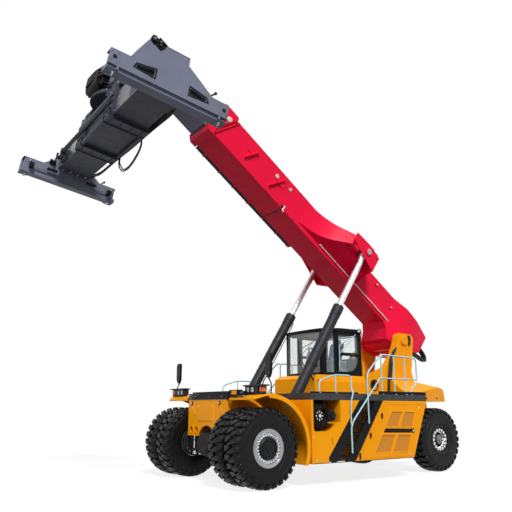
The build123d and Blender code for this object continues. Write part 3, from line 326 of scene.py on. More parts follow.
# ---------------------------------------------------------------- camera, floor and light
EYE = Vector((12.1385, -8.9199, 1.5941))
LOOK = Vector((-0.7903, 0.5598, 0.2492))
camera = bpy.data.objects.new("camera", bpy.data.cameras.new("camera"))
bpy.context.scene.collection.objects.link(camera)
LENS_MM, ROLL_DEGREES = 41.63, 0.17
camera.data.lens, camera.data.sensor_width = LENS_MM, 36.0
camera.data.clip_end = 400.0
camera.matrix_world = (Matrix.Translation(EYE) @ LOOK.to_track_quat("-Z", "Y").to_matrix().to_4x4()
                       @ Matrix.Rotation(radians(ROLL_DEGREES), 4, "Z"))
bpy.context.scene.camera = camera


def seen_rays(tree):
    """1 for what the camera sees directly, in a reflection or through glass, else 0."""
    path = tree.nodes.new("ShaderNodeLightPath")
    last = path.outputs["Is Camera Ray"]
    for kind in ("Is Glossy Ray", "Is Transmission Ray"):
        either = tree.nodes.new("ShaderNodeMath")
        either.operation = "MAXIMUM"
        tree.links.new(last, either.inputs[0])
        tree.links.new(path.outputs[kind], either.inputs[1])
        last = either.outputs[0]
    return last


def stage_material(name, colour, glow):
    """Plain pale surface that also shows itself a little to the camera and in reflections."""
    n = Nodes(name)
    n.set(Roughness=0.9, Base_Color=(*colour, 1.0), Specular_IOR_Level=0.0)
    n.set(Emission_Color=(1, 1, 1, 1))
    n.link(n.times(seen_rays(n.tree), glow), n.shader.inputs["Emission Strength"])
    return n.material


floor_mesh = bpy.data.meshes.new("floor")
REACH = 150.0  # metres of floor each way
corners = [(u * REACH, v * REACH, 0) for u, v in ((-1, -1), (1, -1), (1, 1), (-1, 1))]
floor_mesh.from_pydata(corners, [], [(0, 1, 2, 3)])
floor = bpy.data.objects.new("floor", floor_mesh)
bpy.context.scene.collection.objects.link(floor)
floor.location.z = -0.002
floor_mesh.materials.append(stage_material("floor", (0.2, 0.2, 0.2), 0.82))

world = bpy.data.worlds.new("studio")
world.use_nodes = True
bpy.context.scene.world = world
wt = world.node_tree
background = wt.nodes["Background"]
LIT, SEEN = 0.42, 1.0  # strength of the backdrop as light and as what the camera sees
level = wt.nodes.new("ShaderNodeMapRange")
level.inputs["To Min"].default_value = LIT
level.inputs["To Max"].default_value = SEEN
wt.links.new(seen_rays(wt), level.inputs["Value"])
wt.links.new(level.outputs["Result"], background.inputs["Strength"])
background.inputs["Color"].default_value = (1, 1, 1, 1)


def sun(name, strength, azimuth, elevation, softness):
    lamp = bpy.data.lights.new(name, "SUN")
    lamp.energy, lamp.angle = strength, radians(softness)
    o = bpy.data.objects.new(name, lamp)
    bpy.context.scene.collection.objects.link(o)
    a, e = radians(azimuth), radians(elevation)
    toward = Vector((sin(a) * cos(e), -cos(a) * cos(e), sin(e)))
    o.rotation_euler = (-toward).to_track_quat("-Z", "Y").to_euler()


sun("key", 3.0, 70, 47, 14)
sun("fill", 0.75, 12, 22, 30)
scene = bpy.context.scene
scene.view_settings.view_transform = "Standard"

# ---------------------------------------------------------------- mesh tools
class Shape:
    """Collects boxes, prisms, turned parts and tubes in one frame and makes one piece of them."""

    begun = []  # the Shapes whose pieces are still to be made
    side = 1  # -1 mirrors every x that is given

    def __init__(self, body, piece, at=MACHINE):
        self.bm = bmesh.new()
        self.body, self.at = body, at
        self.name, self.material = piece.split()
        Shape.begun.append(self)

    def faces(self, points, loops, inner=Matrix()):
        m = self.at @ inner
        verts = [self.bm.verts.new(m @ Vector(p)) for p in points]
        made = []
        for loop in loops:
            if len(set(loop)) > 2:
                try:
                    made.append(self.bm.faces.new([verts[i] for i in loop]))
                except ValueError:
                    pass
        return made

    def prism(self, outline, axis, low, high, bevel=0.0, inner=Matrix()):
        """Outline in the two axes after `axis` (x: yz, y: xz, z: xy), extruded from low to high."""
        def point(u, v, w):
            return {"x": (w, u, v), "y": (u, w, v), "z": (u, v, w)}[axis]

        if axis == "x":
            low, high = sorted((Shape.side * low, Shape.side * high))
        else:
            outline = [(Shape.side * u, v) for u, v in outline]
        if (area_of(outline) > 0) == (axis == "y"):
            outline = outline[::-1]
        n = len(outline)
        if bevel:
            rings = [(low, bevel), (low + bevel, 0.0), (high - bevel, 0.0), (high, bevel)]
        else:
            rings = [(low, 0.0), (high, 0.0)]
        points = []
        for w, inset in rings:
            shape = inward(outline, inset) if inset else outline
            points += [point(u, v, w) for u, v in shape]
        loops = [tuple(range(n))[::-1], tuple(range(len(points) - n, len(points)))]
        return self.faces(points, loops + quads(len(rings), n), inner)

    def box(self, low, high, bevel=0.0, inner=Matrix()):
        """Box between two opposite corners, given in any order."""
        (x0, x1), (y0, y1), (z0, z1) = (sorted(pair) for pair in zip(low, high))
        return self.prism([(x0, y0), (x1, y0), (x1, y1), (x0, y1)], "z", z0, z1, bevel, inner)

    def rim(self, outer, inner, low, high):
        """Border between two outlines of four corners, from low to high across the machine."""
        for i, j in ((0, 1), (1, 2), (2, 3), (3, 0)):
            self.prism([outer[i], outer[j], inner[j], inner[i]], "x", low, high)

    def slab(self, centre, size, turn=(0, 0, 0), bevel=0.0):
        """Box about a centre, turned by degrees about x, y and z."""
        inner = Matrix.Translation(mirrored(centre))
        for axis, degrees in zip("XYZ", turn):
            inner = inner @ Matrix.Rotation(radians(degrees), 4, axis)
        h = [s / 2 for s in size]
        return self.box([-v for v in h], h, bevel, inner)

    def turned(self, profile, centre, axis, segments=32, closed=False):
        """Turned part: profile of (distance along the axis, radius)."""
        place = Matrix.Translation(mirrored(centre)) @ mirrored(axis).to_track_quat("Z", "Y").to_matrix().to_4x4()
        points, loops, rows = [], [], []
        for w, r in profile:
            if r <= 1e-6:
                rows.append([len(points)] * segments)
                points.append((0, 0, w))
            else:
                rows.append(list(range(len(points), len(points) + segments)))
                points += [(r * cos(tau * k / segments), r * sin(tau * k / segments), w) for k in range(segments)]
        if closed:
            rows.append(rows[0])
        for a, b in zip(rows, rows[1:]):
            for k in range(segments):
                j = (k + 1) % segments
                quad = []
                for i in (a[k], b[k], b[j], a[j]):
                    if i not in quad:
                        quad.append(i)
                if len(quad) > 2:
                    loops.append(tuple(quad[::-1]))
        return self.faces(points, loops, place)

    def rod(self, start, end, radius, segments=16, bevel=0.0):
        start, end = Vector(start), Vector(end)
        length = (end - start).length
        b = bevel or radius * 0.08
        profile = [(0, 0), (0, radius - b), (b, radius), (length - b, radius), (length, radius - b), (length, 0)]
        return self.turned(profile, start, (end - start).normalized(), segments)

    def bolt(self, centre, axis, across, height=None, washer=True):
        """Hexagon head, on a washer."""
        height = height or across * 0.55
        profile = [(height * 0.2, across * 0.5), (height, across * 0.5), (height, across * 0.42),
            (height * 1.12, 0)]
        self.turned(profile, centre, axis, 6)
        if washer:
            w = height * 0.25
            self.turned([(0, across * 0.72), (w, across * 0.72), (w, 0)], centre, axis, 18)

    def bolts(self, count, radius, centre, axis, across, height=None, washer=True, phase=0.0):
        """Ring of bolts about an axis of the frame."""
        u, v = (i for i in range(3) if not axis[i])
        for k in range(count):
            a, at = tau * (k + phase) / count, list(centre)
            at[u] += radius * sin(a)
            at[v] += radius * cos(a)
            self.bolt(at, axis, across, height, washer)

    def tube(self, points, radius, segments=10, step=6):
        """Round tube on a smooth curve through the points (Catmull-Rom)."""
        path = smooth([mirrored(p) for p in points], step)
        frames = parallel_frames(path)
        ring = [(cos(tau * k / segments), sin(tau * k / segments)) for k in range(segments)]
        made = [tuple(p + u * (c * radius) + v * (s * radius))
                for p, (u, v) in zip(path, frames) for c, s in ring]
        last = (len(path) - 1) * segments
        ends = [tuple(range(segments))[::-1], tuple(range(last, last + segments))]
        return self.faces(made, quads(len(path), segments) + ends)

    def done(self):
        Shape.begun.remove(self)
        mesh = bpy.data.meshes.new(self.name)
        bmesh.ops.recalc_face_normals(self.bm, faces=self.bm.faces)
        for f in self.bm.faces:
            f.smooth = True
        limit = radians(SHARP.get(self.material, 35))
        for e in self.bm.edges:
            e.smooth = len(e.link_faces) == 2 and e.calc_face_angle(0.0) < limit
        self.bm.to_mesh(mesh)
        self.bm.free()
        o = bpy.data.objects.new(self.name, mesh)
        bpy.context.scene.collection.objects.link(o)
        mesh.materials.append(PAINT[self.material])
        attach(o, self.body)
        return o


def shapes(body, *pieces, at=MACHINE):
    """One Shape for each "name material"."""
    return [Shape(body, piece, at) for piece in pieces]


def both_sides():
    """Runs a loop's body for the left and the right, with every x given to a Shape mirrored on the right."""
    for name, Shape.side in SIDES:
        yield name, Shape.side
    Shape.side = 1


def mirrored(point):
    return Vector((Shape.side * point[0], point[1], point[2]))


def area_of(outline):
    """Twice the signed area inside an outline."""
    return sum(a[0] * b[1] - b[0] * a[1] for a, b in zip(outline, outline[1:] + outline[:1]))


def quads(rings, n, closed=True):
    """Faces between rings of n points each, numbered ring by ring."""
    return [(i * n + j, i * n + (j + 1) % n, (i + 1) * n + (j + 1) % n, (i + 1) * n + j)
            for i in range(rings - 1) for j in range(n if closed else n - 1)]


def cap(radius, height, edge=0.004, inset=0.008):
    """Profile of a round cover with a chamfered edge."""
    return [(0, radius), (height, radius), (height + edge, radius - inset), (height + edge, 0)]


def bead(w, r, thick):
    """Closed profile of a rounded ring at radius r."""
    return [(w - thick, r - thick), (w, r - thick * 1.4), (w + thick * 0.5, r), (w, r + thick * 1.4),
        (w - thick, r + thick)]


def bars(y0, y1, z0, z1, inner, outer):
    """Opposite corners of the four bars of a rectangular frame, by how far they reach in and out."""
    return (((y0 - outer, z0 - outer), (y1 + outer, z0 + inner)),
            ((y0 - outer, z1 - inner), (y1 + outer, z1 + outer)),
            ((y0 - outer, z0), (y0 + inner, z1)), ((y1 - inner, z0), (y1 + outer, z1)))


def inward(outline, distance):
    """Outline offset towards its inside."""
    sign = 1 if area_of(outline) > 0 else -1
    out = []
    n = len(outline)
    for i in range(n):
        p, q, r = (Vector(outline[k % n]) for k in (i - 1, i, i + 1))
        a, b = (q - p).normalized(), (r - q).normalized()
        na, nb = Vector((-a.y, a.x)) * sign, Vector((-b.y, b.x)) * sign
        m = na + nb
        out.append(tuple(q + m * (distance / max(0.35, m.length_squared / 2))))
    return out


def smooth(points, step):
    """Points on a Catmull-Rom curve through the given ones."""
    p = [Vector(q) for q in points]
    if len(p) == 2 or step < 2:
        return p
    ends = [p[0] * 2 - p[1]] + p + [p[-1] * 2 - p[-2]]
    out = []
    for a, b, c, d in zip(ends, ends[1:], ends[2:], ends[3:]):
        for k in range(step):
            t = k / step
            square, cube = 2 * a - 5 * b + 4 * c - d, 3 * b - a - 3 * c + d
            out.append(0.5 * (2 * b + (c - a) * t + square * t * t + cube * t ** 3))
    return out + [p[-1]]


def parallel_frames(path):
    """Two unit vectors square to the path at each point, without twist."""
    tangents = []
    for i in range(len(path)):
        tangents.append((path[min(i + 1, len(path) - 1)] - path[max(i - 1, 0)]).normalized())
    u = tangents[0].orthogonal().normalized()
    frames = []
    for t in tangents:
        u = (u - t * u.dot(t)).normalized()
        frames.append((u, t.cross(u)))
    return frames


def bend(points, radius, per_corner=5):
    """The route with each corner rounded, for bent tube and bar."""
    p = [Vector(q) for q in points]
    out = [p[0]]
    for a, b, c in zip(p, p[1:], p[2:]):
        r = min(radius, (a - b).length * 0.45, (c - b).length * 0.45)
        start, end = b + (a - b).normalized() * r, b + (c - b).normalized() * r
        for k in range(per_corner + 1):
            t = k / per_corner
            out.append(start.lerp(b, t).lerp(b.lerp(end, t), t))
    return out + [p[-1]]


SHARP = {"tyre": 32, "seat_cloth": 180}  # degrees from which an edge shows; 35 for the rest
SIDES = (("left", 1), ("right", -1))


# ---------------------------------------------------------------- tyres
CARCASS = [  # half of the section: (distance from the middle, radius)
    (0.215, 0.33), (0.222, 0.345), (0.224, 0.372), (0.232, 0.4), (0.243, 0.45), (0.248, 0.5),
    (0.2495, 0.55), (0.2485, 0.6), (0.243, 0.65), (0.234, 0.69), (0.222, 0.722), (0.2, 0.742),
    (0.15, 0.752), (0.075, 0.757), (0, 0.758),
]
CROWN = [  # outer face of a lug from the middle to its foot on the sidewall
    (0, 0.81), (0.08, 0.8095), (0.15, 0.806), (0.2, 0.796), (0.228, 0.774), (0.243, 0.735),
    (0.2485, 0.696),
]
LUGS, LUG_DEPTH, LUG_FOOT_R = 28, 0.062, 0.66


def crown(u):
    """Point of the lug's outer face at length u along the section, 0 in the middle and 1 at its foot."""
    lengths = [0]
    for a, b in zip(CROWN, CROWN[1:]):
        lengths.append(lengths[-1] + dist(a, b))
    w = max(0, min(1.0, abs(u))) * lengths[-1]
    for i in range(len(CROWN) - 1):
        if w <= lengths[i + 1] or i == len(CROWN) - 2:
            t = (w - lengths[i]) / (lengths[i + 1] - lengths[i])
            x = CROWN[i][0] + t * (CROWN[i + 1][0] - CROWN[i][0])
            r = CROWN[i][1] + t * (CROWN[i + 1][1] - CROWN[i][1])
            return (copysign(x, u) if u else 0), r


def add_tyre(shape, x, y, turn=1):
    """Rock-pattern tyre: carcass, and two rows of slanted lugs that part in the middle."""
    ring = CARCASS + [(-w, r) for w, r in reversed(CARCASS[:-1])]
    shape.turned(ring, (x, y, TYRE_R), EX, 128, closed=True)
    pitch = tau / LUGS
    # along the lug: u across the tread, centre angle and half width in pitches
    rows = [(-0.03, 0.27, 0.15), (0.1, 0.25, 0.22), (0.24, 0.19, 0.28), (0.38, 0.12, 0.315),
        (0.52, 0.06, 0.325), (0.66, 0.02, 0.325), (0.78, 0, 0.3), (0.88, 0, 0.26), (0.96, 0, 0.21),
        (1.0, 0, 0.18)]
    for half in (1, -1):
        for k in range(LUGS):
            base = k * pitch
            points = []
            for u, centre, width in rows:
                w, r = crown(u)
                depth = LUG_DEPTH if u < 0.7 else LUG_DEPTH * (1.02 - u) / 0.32
                inner = max(r - depth, LUG_FOOT_R) if u < 0.95 else r - 0.004
                for side, radius, spread in ((-1, inner, 1.16), (-1, r - 0.01, 1.0), (-1, r, 0.9),
                                             (1, r, 0.9), (1, r - 0.01, 1.0), (1, inner, 1.16)):
                    a = base + turn * (half * centre + side * width * spread) * pitch
                    points.append((x + half * w, y - radius * sin(a), TYRE_R + radius * cos(a)))
            ends = [tuple(range(6)), tuple(range(6 * len(rows) - 6, 6 * len(rows)))[::-1]]
            shape.faces(points, quads(len(rows), 6, closed=False) + ends)
    for half in (1, -1):  # rim guard and sidewall rings
        for r, w, proud in ((0.392, 0.23, 0.01), (0.47, 0.245, 0.0035), (0.625, 0.2462, 0.003)):
            shape.turned([(half * (w - 0.006), r - 0.014), (half * (w + proud), r - 0.005),
                (half * (w + proud), r + 0.005), (half * (w - 0.006), r + 0.014)], (x, y, TYRE_R), EX, 96)


for name, side in SIDES:
    front = Shape(f"front_wheel_{name}", f"tread_front_{name} tyre")
    for x in FRONT_TYRES:
        add_tyre(front, side * x, 0, turn=side)
    tyres = front.done()
    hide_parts(f"front_tyres_{name}")
    rear = Shape(f"rear_wheel_{name}", f"tread_rear_{name} tyre")
    add_tyre(rear, side * REAR_TYRE, WHEELBASE, turn=-side)
    tyre = rear.done()
    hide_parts(f"rear_tyre_{name}")

# ---------------------------------------------------------------- rims
for name, _ in both_sides():
    body = f"front_wheel_{name}"
    outer = FRONT_TYRES[1] + RIM_EDGE
    hub_at = (outer, 0, TYRE_R)
    bolts, dark, bright = shapes(body, f"wheel_nuts_front_{name} bolt", f"hub_detail_{name} rim_black",
        f"lock_ring_{name} rim_silver")
    bolts.bolts(26, 0.268, (outer - 0.034, 0, TYRE_R), EX, 0.05, 0.056)
    # bolted flange, and fine turned rings on the gutter
    bright.turned([(-0.124, 0.24), (-0.04, 0.24), (-0.034, 0.246), (-0.034, 0.296), (-0.044, 0.304),
        (-0.124, 0.304)], hub_at, EX, 96)
    for w, r in ((-0.02, 0.318), (-0.006, 0.33)):
        bright.turned([(w - 0.006, r - 0.004), (w, r - 0.007), (w + 0.005, r), (w, r + 0.007),
            (w - 0.006, r + 0.004)], hub_at, EX, 96, closed=True)
    # lock ring and flange beads outside the disc
    for w, r, thick in ((0.022, 0.368, 0.01), (0.008, 0.338, 0.008), (0.03, 0.352, 0.006)):
        bright.turned(bead(w, r, thick), hub_at, EX, 96, closed=True)
    dark.bolts(16, 0.15, (outer + 0.048, 0, TYRE_R), EX, 0.024, 0.014, phase=0.5)
    dark.turned([(0.046, 0.198), (0.052, 0.196), (0.052, 0.186), (0.046, 0.184)], hub_at, EX, 64, closed=True)
    dark.turned([(0.05, 0.078), (0.064, 0.074), (0.066, 0.04), (0.06, 0.034), (0.06, 0)], hub_at, EX, 32)
    dark.bolt((outer + 0.06, 0, TYRE_R), EX, 0.036, 0.016)
    dark.bolt((outer + 0.05, 0, TYRE_R - 0.112), EX, 0.028, 0.016)
    hub = Shape(body, f"hub_skin_{name} rim_black")
    hub.turned([(-0.13, 0.247), (-0.02, 0.2365), (0.02, 0.2265), (0.0465, 0.1915), (0.0465, 0)], hub_at, EX, 72)

    body = f"rear_wheel_{name}"
    outer = REAR_TYRE + RIM_EDGE
    hub_at = (outer, WHEELBASE, TYRE_R)
    nuts, grey = shapes(body, f"wheel_nuts_rear_{name} bolt", f"rear_hub_{name} hub_grey")
    nuts.bolts(16, 0.246, (outer - 0.098, WHEELBASE, TYRE_R), EX, 0.082, 0.085)
    grey.bolts(10, 0.085, (outer - 0.031, WHEELBASE, TYRE_R), EX, 0.026, 0.018, phase=0.5)
    grey.turned([(-0.165, 0.1525), (-0.06, 0.1425), (-0.0285, 0.112), (-0.0285, 0.045), (0, 0.04),
        (0.002, 0)], hub_at, EX, 48)
    ring = Shape(body, f"rear_ring_{name} rim_black")
    ring.turned([(-0.16, 0.17), (-0.106, 0.172), (-0.098, 0.18), (-0.098, 0.296), (-0.108, 0.303),
        (-0.16, 0.303)], hub_at, EX, 96)
    for w, r, thick in ((0.022, 0.368, 0.01), (0.006, 0.335, 0.008)):
        ring.turned(bead(w, r, thick), hub_at, EX, 96, closed=True)

# ---------------------------------------------------------------- front plate and axle
FACE = -0.24
steel, dark, trim = shapes("chassis", "front_fixings bolt", "axle_detail cast", "front_gussets yellow")
for x in (-0.345, 0.265):
    for z in (1.345, 1.635):
        steel.bolt((x, FACE - 0.012, z), (0, -1, 0), 0.018)
for x in (-0.7, 0.54):
    dark.turned([(0, 0.05), (0.01, 0.048), (0.012, 0.034), (0.004, 0.03), (0.004, 0)], (x, FACE, 1.71),
        (0, -1, 0), 28)
    steel.rod((x, FACE - 0.004, 1.71), (x, FACE - 0.024, 1.71), 0.022)
    trim.slab((x + 0.075, FACE - 0.004, 1.56), (0.012, 0.008, 0.26), (0, -38, 0), 0.002)
for x in (-0.59, -0.33, 0.33, 0.59):  # clamp studs of the axle
    steel.rod((x, -0.205, 0.56), (x, -0.205, 0.965), 0.018)
    for z in (0.585, 0.62):
        steel.turned([(0, 0.034), (0.024, 0.034), (0.026, 0)], (x, -0.205, z), (0, 0, -1), 6)
dark.box((-0.66, -0.245, 0.64), (-0.26, -0.15, 0.69), 0.01)
dark.box((0.26, -0.245, 0.64), (0.66, -0.15, 0.69), 0.01)
for _ in both_sides():  # brake drums and their hoses
    dark.turned([(0, 0.3), (0.01, 0.318), (0.05, 0.318), (0.06, 0.3)], (0.885, 0, TYRE_R), EX, 48)
    steel.bolts(18, 0.265, (0.884, 0, TYRE_R), (-1, 0, 0), 0.026)
    dark.tube([(0.8, -0.1, 1.02), (0.72, -0.23, 0.94), (0.6, -0.215, 0.88), (0.42, -0.2, 0.9),
        (0.24, -0.17, 0.99)], 0.013)
# differential casing with its ribs and cover screws
dark.turned([(0, 0.25), (0.03, 0.245), (0.06, 0.215), (0.075, 0.1), (0.08, 0)], (0, -0.3, TYRE_R), (0, -1, 0), 48)
steel.bolts(14, 0.225, (0, -0.318, TYRE_R), (0, -1, 0), 0.024)

# ---------------------------------------------------------------- front beam, step box and lamps
beam, plate, white = shapes("chassis", "front_beam black", "step_plate yellow", "front_beam_bolts dull")
beam.box((-0.66, -0.254, 1.8), (0.92, -0.236, 1.962), 0.004)
beam.box((-0.66, -0.24, 1.926), (0.92, -0.15, 1.962), 0.004)
beam.box((-0.95, -0.236, 1.775), (-0.655, -0.17, 1.83), 0.005)
beam.box((0.945, -0.25, 1.86), (1.3, -0.13, 1.985), 0.006)
beam.box((1.29, -0.235, 1.865), (1.5, -0.15, 1.955), 0.006)
plate.box((1.05, -0.258, 1.885), (1.235, -0.248, 1.965), 0.002)
for x, z in ((-0.585, 1.93), (-0.5, 1.93), (-0.585, 1.865), (-0.5, 1.865), (-0.4, 1.905), (1.38, 1.925),
             (1.44, 1.925), (0.12, 1.85), (0.64, 1.85)):
    white.bolt((x, -0.254 if x < 1 else -0.235, z), (0, -1, 0), 0.026, 0.01)

glow, amber, black, yellow = shapes("chassis", "lamp_lenses lens", "marker_lenses amber",
    "fender_fittings black", "fender_ribs yellow")
for name, side in SIDES:
    for a, b in ((1.405, 1.54), (1.575, 1.71)):
        x0, x1 = sorted((side * a, side * b))
        glow.box((x0 + 0.003, -0.11, 1.928), (x1 - 0.003, -0.097, 2.032), 0.005)
        for k in range(7):
            x = x0 + 0.009 + 0.018 * k
            glow.box((x, -0.114, 1.934), (x + 0.007, -0.108, 2.026), 0.002)
        for lo, hi in (((x0 - 0.01, 1.914), (x1 + 0.01, 1.926)), ((x0 - 0.01, 2.034), (x1 + 0.01, 2.046)),
                       ((x0 - 0.01, 1.926), (x0 + 0.002, 2.034)), ((x1 - 0.002, 1.926), (x1 + 0.01, 2.034))):
            black.box((lo[0], -0.128, lo[1]), (hi[0], -0.116, hi[1]), 0.003)
    x0, x1 = sorted((side * 1.876, side * 1.989))
    amber.box((x0, -0.105, 1.93), (x1, 0.01, 2.034), 0.01)
    for k in range(5):
        amber.box((x0 - 0.002, -0.107, 1.94 + 0.018 * k), (x1 + 0.002, 0.012, 1.947 + 0.018 * k), 0.002)
    for x in (1.36, 1.6, 1.86, 2.02):
        black.bolt((side * x, -0.06, 2.078), EZ, 0.018, 0.008)
    for k in range(6):
        a = radians(12 + 16 * k)
        y, z = 1.068 * sin(a), TYRE_R + 1.068 * cos(a)
        yellow.bolt((side * 2.1, y, z), (side, 0, 0), 0.018, 0.006)

# ---------------------------------------------------------------- mirrors
face, shell = shapes("chassis", "mirror_glass mirror", "mirror_shells plastic")
for _ in both_sides():
    head = [(1.892, 2.322), (1.932, 2.235), (2.012, 2.235), (2.062, 2.322), (2.07, 2.666), (2.036, 2.72),
        (1.924, 2.72), (1.89, 2.676)]
    face.prism(inward(head, 0.01), "y", 0.093, 0.097, 0.001)
    shell.prism(head, "y", 0.032, 0.05, 0.008)
    for z in (2.36, 2.58):
        shell.box((1.945, 0.02, z), (2.005, 0.036, z + 0.06), 0.006)
    shell.rod((1.975, 0.07, 2.19), (1.975, 0.07, 2.25), 0.022)
    shell.turned([(0, 0.034), (0.012, 0.034), (0.02, 0.02)], (2.06, 0.07, 1.896), EZ, 20)

# ---------------------------------------------------------------- handrails
rails = Shape("chassis", "guard_rails rail")
RX, CX = BODY_X - 0.04, BODY_X + 0.042
RUNS = [  # (radius, bend, points)
    (0.019, 0.11, [(RX, 1.44, 1.93), (RX, 1.44, 2.2), (RX, 1.9, 2.335), (RX, 2.42, 2.335), (RX, 2.42, 1.93)]),
    (0.016, 0, [(RX, 1.93, 1.93), (RX, 1.93, 2.33)]),
    (0.019, 0.12, [(RX, 3.44, 1.93), (RX, 3.44, 2.88), (RX, 4.72, 2.84), (RX, 4.72, 2.24), (RX, 4.48, 2.06),
                   (RX, 4.48, 1.93)]),
    (0.016, 0, [(RX, 3.89, 1.93), (RX, 3.89, 2.862)]),
    (0.016, 0, [(RX, 4.28, 1.93), (RX, 4.28, 2.85)]),
    (0.016, 0, [(RX, 3.44, 2.31), (RX, 4.72, 2.31)]),
    (0.019, 0.16, [(CX, 2.31, 0.64), (CX, 2.3, 1.25), (CX, 3.3, 2.3), (RX, 3.44, 2.31)]),
    (0.019, 0.16, [(CX, 2.87, 1.27), (CX, 2.86, 2.4), (CX, 3.38, 2.87), (RX, 3.44, 2.875)]),
    (0.016, 0.12, [(CX, 2.301, 1.24), (CX, 2.315, 1.74), (CX, 2.4, 1.95), (RX, 2.42, 2.04)]),
    (0.016, 0, [(BODY_X + 0.02, 2.308, 0.67), (CX, 2.308, 0.67)]),
    (0.016, 0, [(BODY_X + 0.02, 2.869, 1.31), (CX, 2.869, 1.31)]),
]
for _ in both_sides():
    for radius, corner, points in RUNS:
        rails.tube(bend(points, corner) if corner else points, radius, 12, 1)
    for x, y, z in ((CX, 2.31, 0.64), (CX, 2.87, 1.27)):  # plugs in the lower ends
        rails.turned([(-0.012, 0), (-0.012, 0.014), (0, 0.02), (0.01, 0.02)], (x, y, z), EZ, 14)
    for y in (1.44, 1.93, 2.42, 3.44, 3.89, 4.28, 4.48):
        rails.turned([(0, 0.045), (0.01, 0.045), (0.012, 0.026), (0.03, 0.021)], (RX, y, DECK_TOP), EZ, 20)
    for y in (3.89, 4.28):
        rails.turned([(-0.024, 0.018), (-0.018, 0.023), (0.018, 0.023), (0.024, 0.018)], (RX, y, 2.31), EZ, 18)
rails = rails.done()
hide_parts("handrails")

# ---------------------------------------------------------------- sides: doors, grilles, handles
X = BODY_X
dark, steel, mesh, frames = shapes("chassis", "side_fittings black", "side_screws bolt", "grille_mesh grille",
    "grille_frames yellow")
GRILLE = ((3.06, 0.61), (4.2, 0.59), (4.53, 1.52), (3.69, 1.54))


def grille_point(u, v):
    (ax, ay), (bx, by), (cx, cy), (dx, dy) = GRILLE
    low = (ax + (bx - ax) * u, ay + (by - ay) * u)
    high = (dx + (cx - dx) * u, dy + (cy - dy) * u)
    return low[0] + (high[0] - low[0]) * v, low[1] + (high[1] - low[1]) * v


for _ in both_sides():
    for u0, u1 in ((0, 0.47), (0.53, 1.0)):
        for v0, v1 in ((0, 0.43), (0.62, 1.0)):
            corners = [grille_point(*q) for q in ((u0, v0), (u1, v0), (u1, v1), (u0, v1))]
            mesh.prism(corners, "x", X - 0.02, X - 0.012)
            rim = inward(corners, -0.014)
            frames.rim(rim, inward(corners, 0.012), X - 0.012, X + 0.004)
            for corner in rim:
                steel.bolt((X + 0.004, *corner), EX, 0.012, 0.005, washer=False)
    strip = [grille_point(*q) for q in ((0.02, 0.475), (0.98, 0.475), (0.98, 0.575), (0.02, 0.575))]
    dark.prism(strip, "x", X, X + 0.004, 0.001)
    for y, z in ((3.335, 1.43), (2.93, 1.0), (2.57, 0.56)):  # hinges of the big door
        dark.box((X, y - 0.016, z - 0.05), (X + 0.03, y + 0.016, z + 0.05), 0.005)
        dark.rod((X + 0.024, y, z - 0.062), (X + 0.024, y, z + 0.062), 0.012)
    y, z = grille_point(1.03, 0.53)
    dark.box((X, y - 0.045, z - 0.05), (X + 0.018, y + 0.045, z + 0.05), 0.01)
    steel.box((X + 0.014, y - 0.02, z - 0.03), (X + 0.024, y + 0.02, z + 0.022), 0.004)
    for y, z in ((1.3, 0.52), (2.62, 1.6), (4.7, 1.62), (4.28, 0.56), (1.22, 1.0)):
        steel.bolt((X, y, z), EX, 0.016, 0.006)
    # lashing slots, drawn as thin black slabs on the side: painted shade of the openings; seams of the front
    # corner panel
    for y, z in ((2.365, 1.43), (1.76, 0.9)):
        dark.slab((X + 0.001, y, z), (0.004, 0.012, 0.16), (8, 0, 0))
    dark.box((X - 0.006, 1.18, 0.448), (X + 0.003, 4.38, 0.462))

# ---------------------------------------------------------------- hydraulic bay
steel, dark, hoses = shapes("chassis", "pump_fittings bolt", "pump_bodies cast", "pump_hoses hose")
dark.box((1.472, 1.245, 1.115), (1.486, 2.005, 1.785), 0.004)
dark.turned([(0, 0.128), (0.02, 0.132), (0.18, 0.132), (0.2, 0.122), (0.235, 0.112), (0.245, 0.06),
    (0.245, 0)], (1.745, 1.44, 1.44), EX, 40)
steel.turned([(0, 0.04), (0.022, 0.038), (0.026, 0.024), (0.02, 0.018), (0.02, 0)], (1.988, 1.44, 1.44), EX, 28)
steel.bolts(8, 0.09, (1.985, 1.44, 1.44), EX, 0.02)
for y, z in ((1.32, 1.56), (1.64, 1.5), (1.56, 1.64)):
    dark.turned([(0, 0.05), (0.14, 0.05), (0.16, 0.04), (0.17, 0.018), (0.2, 0.018)], (1.6, y, z), EX, 24)
    steel.turned([(0, 0.024), (0.016, 0.024), (0.018, 0)], (1.8, y, z), EX, 6)
for k in range(6):
    y = 1.3 + 0.075 * k
    dark.turned([(0, 0.02), (0.022, 0.02), (0.024, 0.013), (0.045, 0.013)], (1.832, y, 1.205), EX, 6)
    hoses.tube([(1.87, y, 1.205), (1.93, y + 0.01, 1.215), (1.955, y + 0.02, 1.3), (1.9, y + 0.05, 1.42),
        (1.7, y + 0.06, 1.56), (1.55, y + 0.05, 1.72)], 0.015)
for k in range(3):
    z = 1.64 + 0.036 * k
    hoses.tube([(1.7, 1.25, z), (1.85, 1.33, z - 0.02), (1.9, 1.56, z - 0.03), (1.84, 1.8, z),
        (1.7, 1.96, z)], 0.013)

